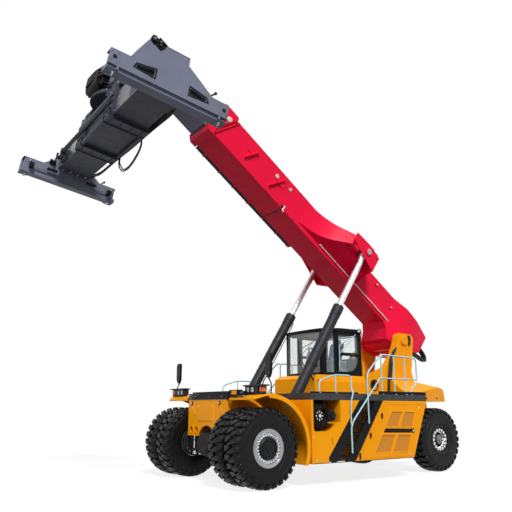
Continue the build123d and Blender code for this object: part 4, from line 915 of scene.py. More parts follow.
# ---------------------------------------------------------------- deck edge, steps, ladders
treads, edge, bolts = shapes("chassis", "step_treads black", "deck_edges black", "deck_bolts black")
for _ in both_sides():
    for z in (0.52, 0.77, 1.02, 1.27, 1.52):
        y = 1.8 + (z - 0.52) * 0.78
        for k in range(9):
            treads.box((X - 0.225, y + 0.035 + 0.058 * k, z + 0.039),
                (X + 0.006, y + 0.06 + 0.058 * k, z + 0.047), 0.002)
        for yy in (y + 0.05, y + 0.5):
            bolts.bolt((X + 0.01, yy, z + 0.02), EX, 0.016, 0.006)
    edge.box((X - 0.03, 1.17, DECK_TOP - 0.004), (X - 0.004, 2.6, DECK_TOP + 0.03), 0.004)
    edge.box((X - 0.03, 3.3, DECK_TOP - 0.004), (X - 0.004, 4.99, DECK_TOP + 0.07), 0.004)
    for y in (1.25, 1.75, 2.25, 3.4, 3.8, 4.2, 4.6, 4.95):
        bolts.bolt((X - 0.01, y, DECK_LOW + 0.075), EX, 0.02, 0.008)

# ---------------------------------------------------------------- rear hood and counterweight
lines, latch, louvre = shapes("chassis", "hood_hinge yellow", "hood_latches black", "hood_louvres black")
for _ in both_sides():
    for y in (5.25, 5.95, 6.55):
        latch.slab((1.29 if y < 5.7 else 1.29 - (y - 5.75) * 0.214, y, 1.88), (0.02, 0.09, 0.05), bevel=0.005)
    for k in range(9):
        louvre.slab((0.55, 6.42 + 0.055 * k, 2.262 - 0.0095 * k), (0.42, 0.02, 0.016), (14, 0, 0), 0.003)
for k in range(8):
    louvre.slab((0, 7.036 - 0.0085 * k, 1.835 + 0.032 * k), (1.2, 0.016, 0.012), bevel=0.003)
lines.box((-0.015, 5.82, 2.325), (0.015, 6.4, 2.345), 0.003)
lamps, housings = shapes("chassis", "tail_lamp_lenses lens_red", "tail_lamp_housings plastic")
for _ in both_sides():
    housings.box((0.76, 7.0, 1.835), (1.0, 7.062, 1.945), 0.008)
    lamps.box((0.775, 7.056, 1.848), (0.875, 7.073, 1.932), 0.006)
    lamps.box((0.885, 7.056, 1.848), (0.985, 7.073, 1.932), 0.006)

# ---------------------------------------------------------------- brackets, pivot and hose bundle
bolts, black, hoses = shapes("chassis", "bracket_bolts yellow", "bracket_fittings plastic", "bracket_hoses hose")
for _ in both_sides():
    bolts.bolts(6, 0.07, (0.832, 5.7, 3.46), EX, 0.024)
    black.turned([(0, 0.15), (0.014, 0.15), (0.018, 0.135), (0.004, 0.125), (0.004, 0.12)], (0.8, 4.44, 2.2),
        EX, 40)
    black.turned(cap(0.127, 0.01, 0.002, 0.007), (0.7, 4.44, 2.2), EX, 40)
    for dy, dz in ((-0.055, 3.22), (0.1, 3.26)):
        bolts.bolt((0.8, 5.7 + dy, dz), EX, 0.03)
    # grab pad on the bracket's upper rear edge
    black.tube([(0.815, 5.905, 3.62), (0.83, 5.925, 3.5), (0.83, 5.9, 3.36)], 0.036, 14)
    hoses.tube([(0.815, 5.3, 3.2), (0.835, 5.1, 2.95), (0.835, 5.02, 2.6), (0.835, 4.96, 2.2),
        (0.835, 4.94, 1.94)], 0.03, 12)
    hoses.tube([(0.815, 5.36, 3.25), (0.84, 5.18, 2.95), (0.84, 5.1, 2.6), (0.84, 5.04, 2.2),
        (0.84, 5.02, 1.94)], 0.022, 12)

# ---------------------------------------------------------------- outer boom: collar, pads, pipes, tray brackets
caps, ledges, line, dark, steel, seams = shapes("boom", "pad_caps cream", "boom_ledges red",
    "boom_pipe white_line", "boom_fittings plastic", "boom_bolts bolt", "boom_seams red", at=BOOM)
H = BOOM_HALF
for _ in both_sides():
    wall = H + 0.05
    for s, t in ((7.985, 0.425), (7.755, 0.91)):  # round covers of the mouth's pads
        caps.turned(cap(0.078, 0.01), (wall, t, s), EX, 36)
        steel.bolts(6, 0.048, (wall + 0.014, t, s), EX, 0.02, 0.008, washer=False)
    caps.turned(cap(0.06, 0.01, 0.003), (H + 0.018, 0.865, 5.815), EX, 32)
    caps.turned(cap(0.046, 0.008, 0.002, 0.006), (H, 0.915, 5.285), EX, 28)
    for s, t in ((5.815, 0.865), (5.285, 0.915)):
        steel.bolts(5, 0.03, (H + 0.028, t, s), EX, 0.014, 0.006, washer=False)
    # slanted ledges under the pads, and the folded edge of the collar
    for (s0, t0), (s1, t1), deep in (((6.825, 0.47), (6.6, 0.925), 0.055), ((5.85, 0.445), (5.555, 0.975), 0.055),
                                     ((7.815, 0.3), (7.48, 1.12), 0.016)):
        length, turn = hypot(s1 - s0, t1 - t0), atan2(t1 - t0, s1 - s0)
        inner = (Matrix.Translation((0, (t0 + t1) / 2, (s0 + s1) / 2)) @ Matrix.Rotation(-turn, 4, "X"))
        ledges.box((H - 0.002, -0.01, -length / 2), (H + 0.02 + deep, 0.01, length / 2), 0.003, inner)
    for s, t in ((1.42, 0.965), (0.62, 0.78)):
        ledges.turned([(0, 0.06), (0.03, 0.056), (0.04, 0.04), (0.04, 0)], (H, t, s), EX, 28)
        steel.bolt((H + 0.04, t, s), EX, 0.034)
    # lubrication pipe in its clips
    line.rod((H + 0.032, 0.372, 3.69), (H + 0.032, 0.35, 0.52), 0.017, 12)
    for k in range(6):
        s = 3.5 - 0.56 * k
        ledges.box((H, 0.345, s - 0.012), (H + 0.05, 0.393, s + 0.012), 0.004)
# strap across the underside with its two hose fittings
dark.rod((-H - 0.1, BOOM_LOW - 0.014, 5.165), (H + 0.01, BOOM_LOW - 0.014, 5.15), 0.012, 10)
for x in (-H - 0.09, H + 0.015):
    steel.slab((x, BOOM_LOW + 0.04, 5.15), (0.05, 0.13, 0.045), bevel=0.008)
    dark.turned([(0, 0.03), (0.05, 0.03), (0.06, 0.018), (0.09, 0.018)], (x, BOOM_LOW + 0.05, 5.17),
        (0, 0.3, 1), 16)
    steel.rod((x, BOOM_LOW - 0.06, 5.1), (x, BOOM_LOW + 0.1, 5.19), 0.013)
# brackets and lids of the cable tray on the other side
for s in (7.48, 6.9, 6.34, 5.74, 5.14, 4.56, 4.05):
    ledges.box((-H - 0.16, 0.25, s - 0.016), (-H + 0.002, 0.262, s + 0.016), 0.003)
    ledges.box((-H - 0.162, 0.25, s - 0.016), (-H - 0.142, 0.372, s + 0.016), 0.003)
for k in range(6):
    s = 4.3 + 0.6 * k
    dark.box((-H - 0.138, 0.353, s - 0.28), (-H - 0.003, 0.363, s + 0.28), 0.003)
# wear pads that show at the mouth
for _ in both_sides():
    dark.box((H - 0.026, 0.5, 8.085), (H - 0.06, 0.88, 8.14), 0.004)
dark.box((-0.27, 0.289, 8.085), (0.27, 0.317, 8.14), 0.004)
# welded seams between the plates
for s in (4.6, 6.2):
    for _ in both_sides():
        seams.box((H, BOOM_LOW + 0.01, s - 0.007), (H + 0.004, BOOM_TOP - 0.01, s + 0.007), 0.0015)
    seams.box((-H + 0.01, BOOM_TOP, s - 0.007), (H - 0.01, BOOM_TOP + 0.004, s + 0.007), 0.0015)
    seams.box((-H + 0.01, BOOM_LOW - 0.004, s - 0.007), (H - 0.01, BOOM_LOW, s + 0.007), 0.0015)
for _ in both_sides():
    for t in (BOOM_LOW + 0.006, BOOM_TOP - 0.006):
        seams.rod((H - 0.002, t, 4.65), (H - 0.002, t, 7.5), 0.009, 8)
# wings: one bent sheet over the front of each, from the boom's side to the pin boss
PLAN = [(4.56, 0.418), (4.05, 0.5), (3.65, 0.68), (3.35, 0.9), (3.06, 1.1), (2.9, 1.15), (2.6, 1.15)]
sheet = Shape("boom", "wing_sheets red", BOOM)
curve = [PLAN[0]]
for a, b, c in zip(PLAN, PLAN[1:], PLAN[2:]):
    start, end = [((p[0] + b[0]) / 2, (p[1] + b[1]) / 2) for p in (a, c)]
    for k in range(11):
        t = k / 10
        curve.append(tuple((1 - t) ** 2 * start[i] + 2 * t * (1 - t) * b[i] + t * t * end[i] for i in (0, 1)))
for side in (-1, 1):
    points = []
    for i, (station, reach) in enumerate(curve):
        (s0, x0), (s1, x1) = curve[max(i - 1, 0)], curve[min(i + 1, len(curve) - 1)]
        length = hypot(s1 - s0, x1 - x0)
        ns, nx = (x1 - x0) / length, (s0 - s1) / length
        low = 0.38 + (reach - 0.415) * 0.5986
        for proud, height in ((-0.006, low), (-0.006, 1.074), (0.009, 1.082), (0.009, low - 0.004)):
            points.append((side * (reach + nx * proud), height, station + ns * proud))
    ends = [(0, 3, 2, 1), tuple(range(4 * len(curve) - 4, 4 * len(curve)))]
    sheet.faces(points, quads(len(curve), 4) + ends)
# pin plates of the lift cylinders on the wings
plate, rim = shapes("boom", "wing_pins steel", "wing_bosses red", at=BOOM)
for _ in both_sides():
    plate.turned(cap(0.082, 0.012), (1.174, 0.9, LIFT_S), EX, 36)
    plate.bolts(4, 0.05, (1.19, 0.9, LIFT_S), EX, 0.024, phase=0.5)
    rim.turned([(0, 0.128), (0.012, 0.128), (0.02, 0.112), (0.02, 0.098), (0, 0.098)], (1.15, 0.9, LIFT_S),
        EX, 40, closed=True)
# hose bundle from the bracket into the boom's rear, drawn on the boom because it swings with it
bundle = Shape("boom", "boom_hose_bundle hose")
for k in range(6):
    dx, dz = 0.05 * (k % 3), 0.05 * (k // 3)
    bundle.tube([(0.585 - dx, 5.62, 3.26 + dz), (0.585 - dx, 6.02, 3.22 + dz), (0.56 - dx, 6.45, 3.11 + dz),
        (0.52 - dx, 6.82, 2.99 + dz), (0.48 - dx, 7.0, 2.98 + dz), (0.44 - dx, 7.03, 3.1 + dz),
        (0.4 - dx, 6.94, 3.26 + dz), (0.39 - dx, 6.86, 3.36 + dz)], 0.023, 10)

# ---------------------------------------------------------------- lift cylinders
# barrel: foot eye, slender neck, tube and gland; rod: chromed bar and boom eye
BARREL = (
    [(0.02, 0), (0.02, 0.112)] + [(0.1 + 0.1 * k, 0.112) for k in range(6)]
    + [(0.69, 0.112), (0.702, 0.118), (0.706, 0.13), (0.712, 0.132)]
    + [(0.8 + 0.2 * k, 0.132) for k in range(12)]
    + [(3.12, 0.132), (3.124, 0.142), (3.14, 0.142), (3.144, 0.132), (3.2, 0.132), (3.206, 0.141),
       (3.22, 0.143), (3.4, 0.143), (3.425, 0.14), (3.43, 0.134), (3.43, 0)])
ROD = (
    [(1.96, 0), (1.96, 0.082)] + [(2.1 + 0.2 * k, 0.082) for k in range(15)]
    + [(5.06, 0.082), (5.085, 0.098), (5.11, 0.104), (5.19, 0.11), (5.23, 0.118), (5.24, 0)])


def eye(radius, half, bore=0):
    return [(-half, bore), (-half, radius - 0.008), (0.006 - half, radius), (half - 0.006, radius),
        (half, radius - 0.008), (half, bore)]


for name, side in both_sides():
    x = LIFT_X
    # the barrel's bolts take the darker slate paint, made as painted shade for the spreader beams
    tube, dark, fit, ring = shapes(f"lift_barrel_{name}", f"lift_tube_{name} barrel",
        f"lift_barrel_trim_{name} barrel", f"lift_barrel_bolts_{name} slate_dark", f"lift_gland_{name} steel",
        at=CYLINDER)
    chrome, rod_end = shapes(f"lift_rod_{name}", f"lift_chrome_{name} chrome", f"lift_rod_eye_{name} barrel",
        at=CYLINDER)
    tube.turned(BARREL, (x, 0, 0), EZ, 64)
    tube.turned(eye(0.14, 0.1167), (x, 0, 0), (side, 0, 0), 64)
    chrome.turned(ROD, (x, 0, 0), EZ, 64)
    rod_end.turned(eye(0.148, 0.095), (x, 0, LIFT_LENGTH), (side, 0, 0), 64)
    fit.bolts(12, 0.112, (x, 0, 3.43), EZ, 0.02, 0.01)
    ring.turned([(3.43, 0.1), (3.448, 0.098), (3.45, 0.084), (3.43, 0.084)], (x, 0, 0), EZ, 48, closed=True)
    for s in (0.735, 1.6, 2.45):  # clamps of the pipe on the barrel
        dark.turned([(0, 0.131), (0.002, 0.1375), (0.028, 0.1375), (0.03, 0.131)], (x, 0, s), EZ, 48)
    for z in (0.6, 0.69):
        dark.turned([(0, 0.1115), (0.003, 0.119), (0.02, 0.119), (0.023, 0.1115)], (x, 0, z), EZ, 40)
    # pressure pipe along the inner side, from the foot valve to the gland
    px = LIFT_X - 0.08
    dark.tube([(px, 0.128, 0.62), (px, 0.146, 0.72), (px, 0.146, 3.1), (px, 0.136, 3.24)], 0.013, 10, 1)
    dark.box((x - 0.05, 0.095, 0.43), (x + 0.05, 0.165, 0.62), 0.008)
    for z in (0.47, 0.53, 0.59):
        fit.bolt((x + side * 0.02, 0.165, z), EY, 0.024)
    for s in (-1, 1):  # face rings of both eyes
        dark.turned([(0, 0.112), (0.004, 0.112), (0.006, 0.1), (0.006, 0.062)], (x + s * 0.1165, 0, 0),
            (s, 0, 0), 40)
    barrel = tube.done()
    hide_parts(f"lift_barrel_{name}")
    polished = chrome.done()
    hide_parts(f"lift_rod_{name}")

# ---------------------------------------------------------------- cab: trim, doors, seat and controls
trim, seal, inside, work, bits = shapes("chassis", "cab_trim black", "window_seals seal",
    "cab_interior interior", "work_lamps lens", "cab_levers bolt")
HALF, FLOOR = 0.75, 2.46  # the cab's half width and the height of its floor
for _, side in both_sides():
    # rubber round the front side window, roof gutter, pillar covers
    for lo, hi in bars(2.8, 3.08, 2.494, 3.496, 0, 0.014):
        seal.box((HALF - 0.006, *lo), (HALF + 0.007, *hi), 0.003)
    trim.box((HALF, 2.7, 3.548), (HALF + 0.028, 4.06, 3.575), 0.006)
    trim.box((HALF - 0.002, 3.098, 2.44), (HALF + 0.014, 3.152, 3.545), 0.005)
    # round work lamp at the upper rear corner, with its guard
    work.turned([(0, 0.04), (0.02, 0.052), (0.046, 0.052), (0.052, 0.044), (0.052, 0)], (0.79, 3.99, 3.61),
        (0.35, -1, 0), 24)
    trim.turned([(-0.03, 0), (-0.03, 0.04), (0.03, 0.06), (0.052, 0.06), (0.052, 0.052)], (0.79, 3.99, 3.61),
        (0.35, -1, 0), 24)
    trim.tube([(0.755, 4.03, 3.4), (0.79, 4.035, 3.47), (0.8, 4.02, 3.57)], 0.012)
trim.box((-0.6, 4.05, 3.47), (0.6, 4.066, 3.5), 0.004)
# wiper with its motor cover under the windscreen
trim.tube([(0.3, 2.555, 2.5), (0.16, 2.535, 2.7), (0.02, 2.533, 3.0)], 0.01)
trim.slab((-0.02, 2.536, 3.02), (0.02, 0.012, 0.62), (4, 0, 0), 0.003)
trim.turned([(0, 0.045), (0.03, 0.04), (0.04, 0.02), (0.04, 0)], (0.3, 2.585, 2.49), (0, -1, 0), 20)
# black hose loop at the cab base's front
hose = Shape("chassis", "cab_hose hose")
hose.tube([(0.64, 2.6, 2.66), (0.7, 2.42, 2.56), (0.74, 2.3, 2.4), (0.78, 2.33, 2.29), (0.8, 2.48, 2.26)], 0.02)
hose.tube([(0.6, 2.59, 2.9), (0.69, 2.5, 2.72), (0.73, 2.42, 2.56)], 0.012)
# inside: side consoles with levers, display, pedals, floor mat, headlining, sun blind
for _ in both_sides():
    inside.box((0.345, 3.3, FLOOR), (0.48, 3.76, 2.82), 0.02)
    for k in range(3):
        y = 3.34 + 0.06 * k
        bits.rod((0.41, y, 2.81), (0.41, y - 0.02, 2.9), 0.006)
        inside.turned([(0, 0.01), (0.012, 0.017), (0.03, 0.015), (0.04, 0)], (0.41, y - 0.02, 2.895),
            (0, -0.2, 1), 14)
inside.slab((0.33, 2.9, 2.98), (0.24, 0.03, 0.17), (18, 0, -14), 0.01)
inside.rod((0.33, 2.915, 2.6), (0.33, 2.905, 2.92), 0.016)
for x in (-0.16, 0.1, 0.24):
    inside.slab((x, 2.76, 2.54), (0.08, 0.016, 0.15), (-40, 0, 0), 0.004)
inside.box((-0.64, 2.82, FLOOR + 0.001), (0.64, 3.96, FLOOR + 0.012), 0.003)
inside.box((-0.64, 2.82, 3.535), (0.64, 3.96, 3.552), 0.004)
for k in range(6):
    inside.slab((0, 2.7 + 0.012 * k, 3.5 - 0.01 * k), (1.1, 0.006, 0.014), (20, 0, 0))
for name, _ in both_sides():
    body = f"cab_door_{name}"
    door, grab, handle = shapes(body, f"door_seal_{name} seal", f"door_grab_{name} rail",
        f"door_handle_{name} plastic")
    for lo, hi in bars(3.23, 3.925, 3.01, 3.465, 0.004, 0.012):
        door.box((HALF - 0.004, *lo), (HALF + 0.006, *hi), 0.003)
    door.tube([(HALF + 0.001, y, z) for y, z in ((3.236, 2.93), (3.236, 2.53), (3.6, 2.526), (3.8, 2.59),
        (3.905, 2.76), (3.915, 2.93))], 0.008, 8, 4)
    handle.box((HALF, 3.205, 2.935), (HALF + 0.022, 3.255, 3.0), 0.006)
    handle.rod((HALF + 0.026, 3.23, 2.9), (HALF + 0.026, 3.23, 3.04), 0.01)
    handle.box((HALF, 3.64, 2.945), (HALF + 0.022, 3.8, 2.995), 0.006)
    route = [(0.775, 3.19, 2.52), (0.822, 3.19, 2.56), (0.822, 3.19, 3.18), (0.822, 3.78, 3.47),
        (0.775, 3.82, 3.5)]
    grab.tube(bend(route, 0.06), 0.013, 10, 1)
    grab.tube([(0.822, 3.19, 2.96), (0.822, 3.74, 3.448)], 0.01, 8, 1)


def cushion(name, centre, size, tilt, channels=0, boxy=0.42, crown_top=0.5):
    """Crowned closed pad: rounded box whose sides pull in, with sewn channels across its upper face."""
    pad = Shape("chassis", f"{name} seat_cloth")
    bm, rows, cols, grid = pad.bm, 26, 40, []
    place = MACHINE @ Matrix.Translation(centre) @ Matrix.Rotation(radians(tilt), 4, "X")

    def power(v, e):
        return copysign(abs(v) ** e, v)

    for i in range(rows + 1):
        lat = pi * (i / rows - 0.5)
        ring = []
        for k in range(cols):
            lon = tau * k / cols
            x = power(cos(lat), boxy) * power(cos(lon), boxy)
            y = power(cos(lat), boxy) * power(sin(lon), boxy)
            z = power(sin(lat), 0.75)
            pull = 1 - 0.045 * (1 - min(1.0, abs(x * y))) * cos(lat)
            if z > 0 and channels:
                z -= 0.1 * max(0, cos(y * pi * channels)) ** 12 * (1 - x * x)
            z *= 1 - crown_top * 0.25 * (x * x + y * y)
            point = (x * pull * size[0] / 2, y * pull * size[1] / 2, z * size[2] / 2)
            ring.append(bm.verts.new(place @ Vector(point)))
        grid.append(ring)
    for a, b in zip(grid, grid[1:]):
        for k in range(cols):
            bm.faces.new((a[k], a[(k + 1) % cols], b[(k + 1) % cols], b[k]))
    bmesh.ops.remove_doubles(bm, verts=bm.verts, dist=1e-5)
    o = pad.done()
    return o


pad = cushion("seat_cushion", (0, 3.51, 2.765), (0.49, 0.45, 0.16), -4, 3)
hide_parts("operator_seat")
cushion("seat_back", (0, 3.812, 3.08), (0.48, 0.56, 0.13), 76, 4)
cushion("head_rest", (0, 3.892, 3.36), (0.27, 0.15, 0.085), 78)
for name, side in SIDES:
    cushion(f"arm_rest_{name}", (side * 0.292, 3.51, 2.895), (0.072, 0.41, 0.066), 0)
base = Shape("chassis", "seat_base interior")
base.box((-0.17, 3.4, FLOOR), (0.17, 3.72, 2.53), 0.012)
for k in range(5):  # bellows of the suspension
    z = 2.54 + 0.026 * k
    base.box((-0.158, 3.415, z), (0.158, 3.705, z + 0.01), 0.004)
    base.box((-0.145, 3.428, z + 0.01), (0.145, 3.692, z + 0.026), 0.002)
base.box((-0.215, 3.33, 2.668), (0.215, 3.72, 2.69), 0.006)
for _ in both_sides():
    base.box((0.247, 3.6, 2.7), (0.283, 3.64, 2.88), 0.006)
    base.slab((0.246, 3.735, 2.8), (0.03, 0.09, 0.14), (-14, 0, 0), 0.008)
base.slab((0, 3.9, 3.1), (0.4, 0.018, 0.5), (-14, 0, 0), 0.008)

# ---------------------------------------------------------------- spreader: slewing machinery on the yoke
gear, dark, steel, hoses, grey = shapes("yoke", "ring_gear_cover cast", "slew_machinery cast",
    "slew_fittings dull", "slew_hoses hose", "slew_frame slate", at=SPREADER)
gear.turned([(1.16, 0.6), (1.166, 0.622), (1.2, 0.622), (1.206, 0.604), (1.228, 0.604), (1.234, 0.624),
    (1.262, 0.624), (1.268, 0.598)], (0, 0, 0), EZ, 96)
steel.bolts(48, 0.575, (0, 0, 1.294), EZ, 0.026, 0.014)
for k in range(60):  # ribs of the ring gear's cover
    a = tau * k / 60
    c, s = cos(a), sin(a)
    inner = axes((c, s, 0), (-s, c, 0), EZ, (0.604 * c, 0.604 * s, 1.217))
    gear.box((-0.004, -0.01, -0.014), (0.012, 0.01, 0.014), 0.003, inner)
for _ in both_sides():  # drives with brakes and motors
    dark.turned([(1.556, 0.095), (1.566, 0.112), (1.59, 0.112), (1.6, 0.09), (1.68, 0.09), (1.69, 0.076),
        (1.76, 0.074), (1.775, 0.056), (1.84, 0.054), (1.85, 0.03), (1.85, 0)], (0.43, -0.23, 0), EZ, 32)
    dark.box((0.375, -0.38, 1.7), (0.485, -0.27, 1.8), 0.01)
    steel.bolts(8, 0.1, (0.43, -0.23, 1.59), EZ, 0.018, 0.01)
    for x in (0.404, 0.456):
        steel.turned([(0, 0.024), (0.03, 0.022), (0.034, 0.016), (0.06, 0.016)], (x, -0.38, 1.75), (0, -1, 0), 12)
# valve block, accumulator and frame in front of the ring
dark.box((-0.33, -0.64, 1.33), (0.33, -0.45, 1.56), 0.012)
dark.box((-0.4, -0.6, 1.3), (0.4, -0.4, 1.335), 0.006)
for k in range(6):
    x = -0.275 + 0.11 * k
    dark.box((x - 0.04, -0.62, 1.56), (x + 0.04, -0.48, 1.66 - 0.03 * (k % 2)), 0.008)
    steel.turned([(0, 0.022), (0.024, 0.02), (0.028, 0.014), (0.05, 0.014)], (x, -0.64, 1.4 + 0.05 * (k % 3)),
        (0, -1, 0), 12)
    steel.rod((x, -0.55, 1.65), (x, -0.55, 1.7), 0.014)
grey.rod((-0.56, -0.5, 1.42), (-0.56, -0.5, 1.86), 0.062, 28)
grey.turned([(0, 0.062), (0.03, 0.058), (0.055, 0.04), (0.066, 0)], (-0.56, -0.5, 1.86), EZ, 28)
for z in (1.5, 1.76):
    dark.turned([(0, 0.064), (0.002, 0.07), (0.024, 0.07), (0.026, 0.064)], (-0.56, -0.5, z), EZ, 28)
dark.box((-0.64, -0.47, 1.38), (-0.38, -0.43, 1.84), 0.006)
grey.prism([(0.4, 1.3), (0.56, 1.3), (0.56, 1.76), (0.47, 1.86), (0.4, 1.86)], "y", -0.47, -0.452, 0.003)
for k in range(9):  # hoses that bend down over the block, in two close layers
    x, lift = -0.3 + 0.075 * k, 0.03 * (k % 3)
    for y, top, low in ((-0.675, 1.7, 1.33), (-0.735, 1.6, 1.26)):
        hoses.tube([(x * 0.8, -0.5, top + lift), (x * 0.92, y + 0.07, top + 0.03 + lift),
            (x, y, top - 0.08 + lift), (x * 1.03, y - 0.01, (top + low) / 2), (x * 0.97, y + 0.02, low),
            (x * 0.8, y + 0.14, low - 0.05)], 0.026, 10)
for k in range(3):
    z = 1.4 + 0.09 * k
    hoses.tube([(-0.47, -0.5, z + 0.16), (-0.44, -0.65, z + 0.08), (-0.25, -0.772, z),
        (0.05, -0.78, z - 0.02), (0.3, -0.74, z + 0.02), (0.43, -0.6, z + 0.1), (0.44, -0.43, z + 0.14)],
        0.026, 10)
dark.box((-0.39, -0.65, 1.235), (0.39, -0.6, 1.7), 0.014)
dark.box((-0.3, -0.47, 1.56), (0.3, -0.44, 1.88), 0.012)
for _ in both_sides():
    dark.box((0.3, -0.56, 1.56), (0.42, -0.42, 1.9), 0.02)
    for t in (1.42, 1.8):
        steel.bolt((0.355, -0.15, t), EX, 0.03)
    # pin keeper and grease caps at the level pin
    grey.turned(cap(0.12, 0.014, 0.004, 0.01), (0.4, 0, PIN_HEIGHT), EX, 40)
    dark.bolts(6, 0.08, (0.418, 0, PIN_HEIGHT), EX, 0.024)

# ---------------------------------------------------------------- slewing carrier: cylinder, rails, hose loop
# the carrier's edge strips take the darker slate paint: painted shade, like the carrier
dark, steel, hoses, grey = shapes("slew_carrier", "side_shift_barrel barrel", "carrier_bolts bolt",
    "carrier_hoses hose", "carrier_edges slate_dark", at=SPREADER)
steel.bolts(36, 0.632, (0, 0, 1.15), EZ, 0.024, 0.012)
dark.turned([(1.06, 0.65), (1.064, 0.664), (1.08, 0.664), (1.084, 0.65)], (0, 0, 0), EZ, 96)
dark.rod((-0.7, *SIDE_SHIFT), (1.0, *SIDE_SHIFT), 0.046, 28)
for x in (-0.69, 0.93):
    dark.rod((x, *SIDE_SHIFT), (x + 0.06, *SIDE_SHIFT), 0.056, 28)
for x in (-0.6, 0.8):
    dark.box((x - 0.03, 0.505, 0.56), (x + 0.03, 0.6, 0.69), 0.006)
steel.rod((-0.78, *SIDE_SHIFT), (-0.7, *SIDE_SHIFT), 0.024)
for y in (-1, 1):  # edge strips and wear pads of the saddles
    for _ in both_sides():
        for x in (0.7, 1.04):
            grey.box((x - 0.008, y * 0.403, 0.182), (x + 0.008, y * 0.49, 1.006), 0.002)
        for z in (0.34, 0.58, 0.9):
            for x in (0.77, 0.97):
                steel.bolt((x, y * 0.475, z), (0, y, 0), 0.03, 0.014)
        dark.box((0.73, y * 0.476, 0.42), (1.01, y * 0.484, 0.5), 0.002)
for _ in both_sides():  # flanges under the saddles
    for y in (-0.36, -0.12, 0.12, 0.36):
        grey.box((0.69, y - 0.008, 0.168), (1.05, y + 0.008, 0.192), 0.002)
    for x in (0.705, 1.035):
        grey.box((x - 0.008, -0.47, 0.164), (x + 0.008, 0.47, 0.192), 0.002)
for k in range(2):
    o = 0.045 * k
    hoses.tube([(0.56, 0.5, 0.27), (0.6 - o, 0.515, 0.06), (0.42 - o, 0.52, -0.16 + o),
        (0.1 - o / 2, 0.52, -0.3 + o), (-0.26, 0.52, -0.27 + o), (-0.56 + o, 0.52, -0.08 + o),
        (-0.7 + o, 0.515, 0.11), (-0.69 + o, 0.5, 0.27)], 0.016)
for x in (0.56, -0.67):
    steel.turned([(0, 0.026), (0.05, 0.026), (0.056, 0.018), (0.08, 0.018)], (x, 0.5, 0.3), (0, 0, -1), 14)
dark.box((-0.9, 0.478, 0.196), (0.9, 0.492, 0.262), 0.003)
for k in range(5):  # hoses along the top from the ring to the rear rail
    hoses.tube([(0.3 - 0.06 * k, 0.56, 1.085), (0.36 - 0.05 * k, 0.64, 0.98), (0.44 - 0.04 * k, 0.62, 0.86),
        (0.6 - 0.03 * k, 0.6, 0.735)], 0.015)

# ---------------------------------------------------------------- main beam
# the beam's collars take the darker slate paint: painted shade, like the beam
dark, steel, grey, yellow, hoses, rod = shapes("main_beam", "extension_barrels barrel", "beam_bolts bolt",
    "beam_collars slate_dark", "beam_marks yellow", "beam_hoses hose", "side_shift_rod chrome", at=SPREADER)
rod.rod((0.2, *SIDE_SHIFT), (1.95, *SIDE_SHIFT), 0.026, 24)
dark.box((1.9, 0.4, 0.56), (2.02, 0.615, 0.68), 0.01)
dark.rod((1.96, 0.565, 0.53), (1.96, 0.565, 0.71), 0.03)
for sign in (1, -1):  # extension cylinders, one on each face, held at their outer ends
    y = sign * EXTENSION_Y
    dark.rod((sign * -1.25, y, EXTENSION_Z), (sign * 1.95, y, EXTENSION_Z), 0.047, 28)
    for x in (-1.24, 1.89):
        dark.rod((sign * x, y, EXTENSION_Z), (sign * (x + 0.06), y, EXTENSION_Z), 0.056, 28)
    for x in (1.88, 2.25):
        dark.box((sign * x, y + sign * 0.05, 0.36), (sign * (x + 0.05), sign * 0.398, 0.52), 0.006)
    dark.box((sign * 1.88, sign * 0.47, 0.3), (sign * 2.3, sign * 0.398, 0.36), 0.006)
for _ in both_sides():
    # collar plates at the mouths, screws of the wear pads
    grey.box((2.585, -0.418, 0.236), (2.603, 0.418, 0.262), 0.003)
    grey.box((2.585, -0.418, 0.818), (2.603, 0.418, 0.844), 0.003)
    for y in (-0.418, 0.402):
        grey.box((2.585, y, 0.262), (2.603, y + 0.016, 0.818), 0.003)
    grey.box((2.45, -0.41, 0.238), (2.59, 0.41, 0.25), 0.003)
    for y in (-0.3, -0.1, 0.1, 0.3):
        for x in (2.48, 2.56):
            steel.bolt((x, y, 0.238), (0, 0, -1), 0.026, 0.012)
            steel.bolt((x, y, 0.83), EZ, 0.026, 0.012)
    for z in (0.34, 0.54, 0.74):
        for y in (-1, 1):
            steel.bolt((2.52, y * 0.4, z), (0, y, 0), 0.026, 0.012)
    grey.box((1.87, -0.404, 0.3), (2.42, -0.398, 0.78), 0.002)
# bare sliding faces in front, greasy and bright, with painted marks
rub = Shape("main_beam", "bare_faces rubbed", SPREADER)
for _ in both_sides():
    rub.box((1.06, -0.4003, 0.275), (2.43, -0.396, 0.805))
    yellow.box((1.187, -0.4006, 0.6), (1.243, -0.397, 0.655))
    yellow.box((1.433, -0.4006, 0.285), (1.477, -0.397, 0.325))
for k in range(3):
    z = 0.27 + 0.035 * k
    hoses.tube([(2.45, 0.43, z), (2.28, 0.48, z), (1.94, 0.532, z), (1.0, 0.534, z + 0.01),
        (0, 0.534, z - 0.01), (-1.0, 0.534, z + 0.01), (-1.94, 0.532, z), (-2.28, 0.48, z), (-2.45, 0.43, z)],
        0.013)

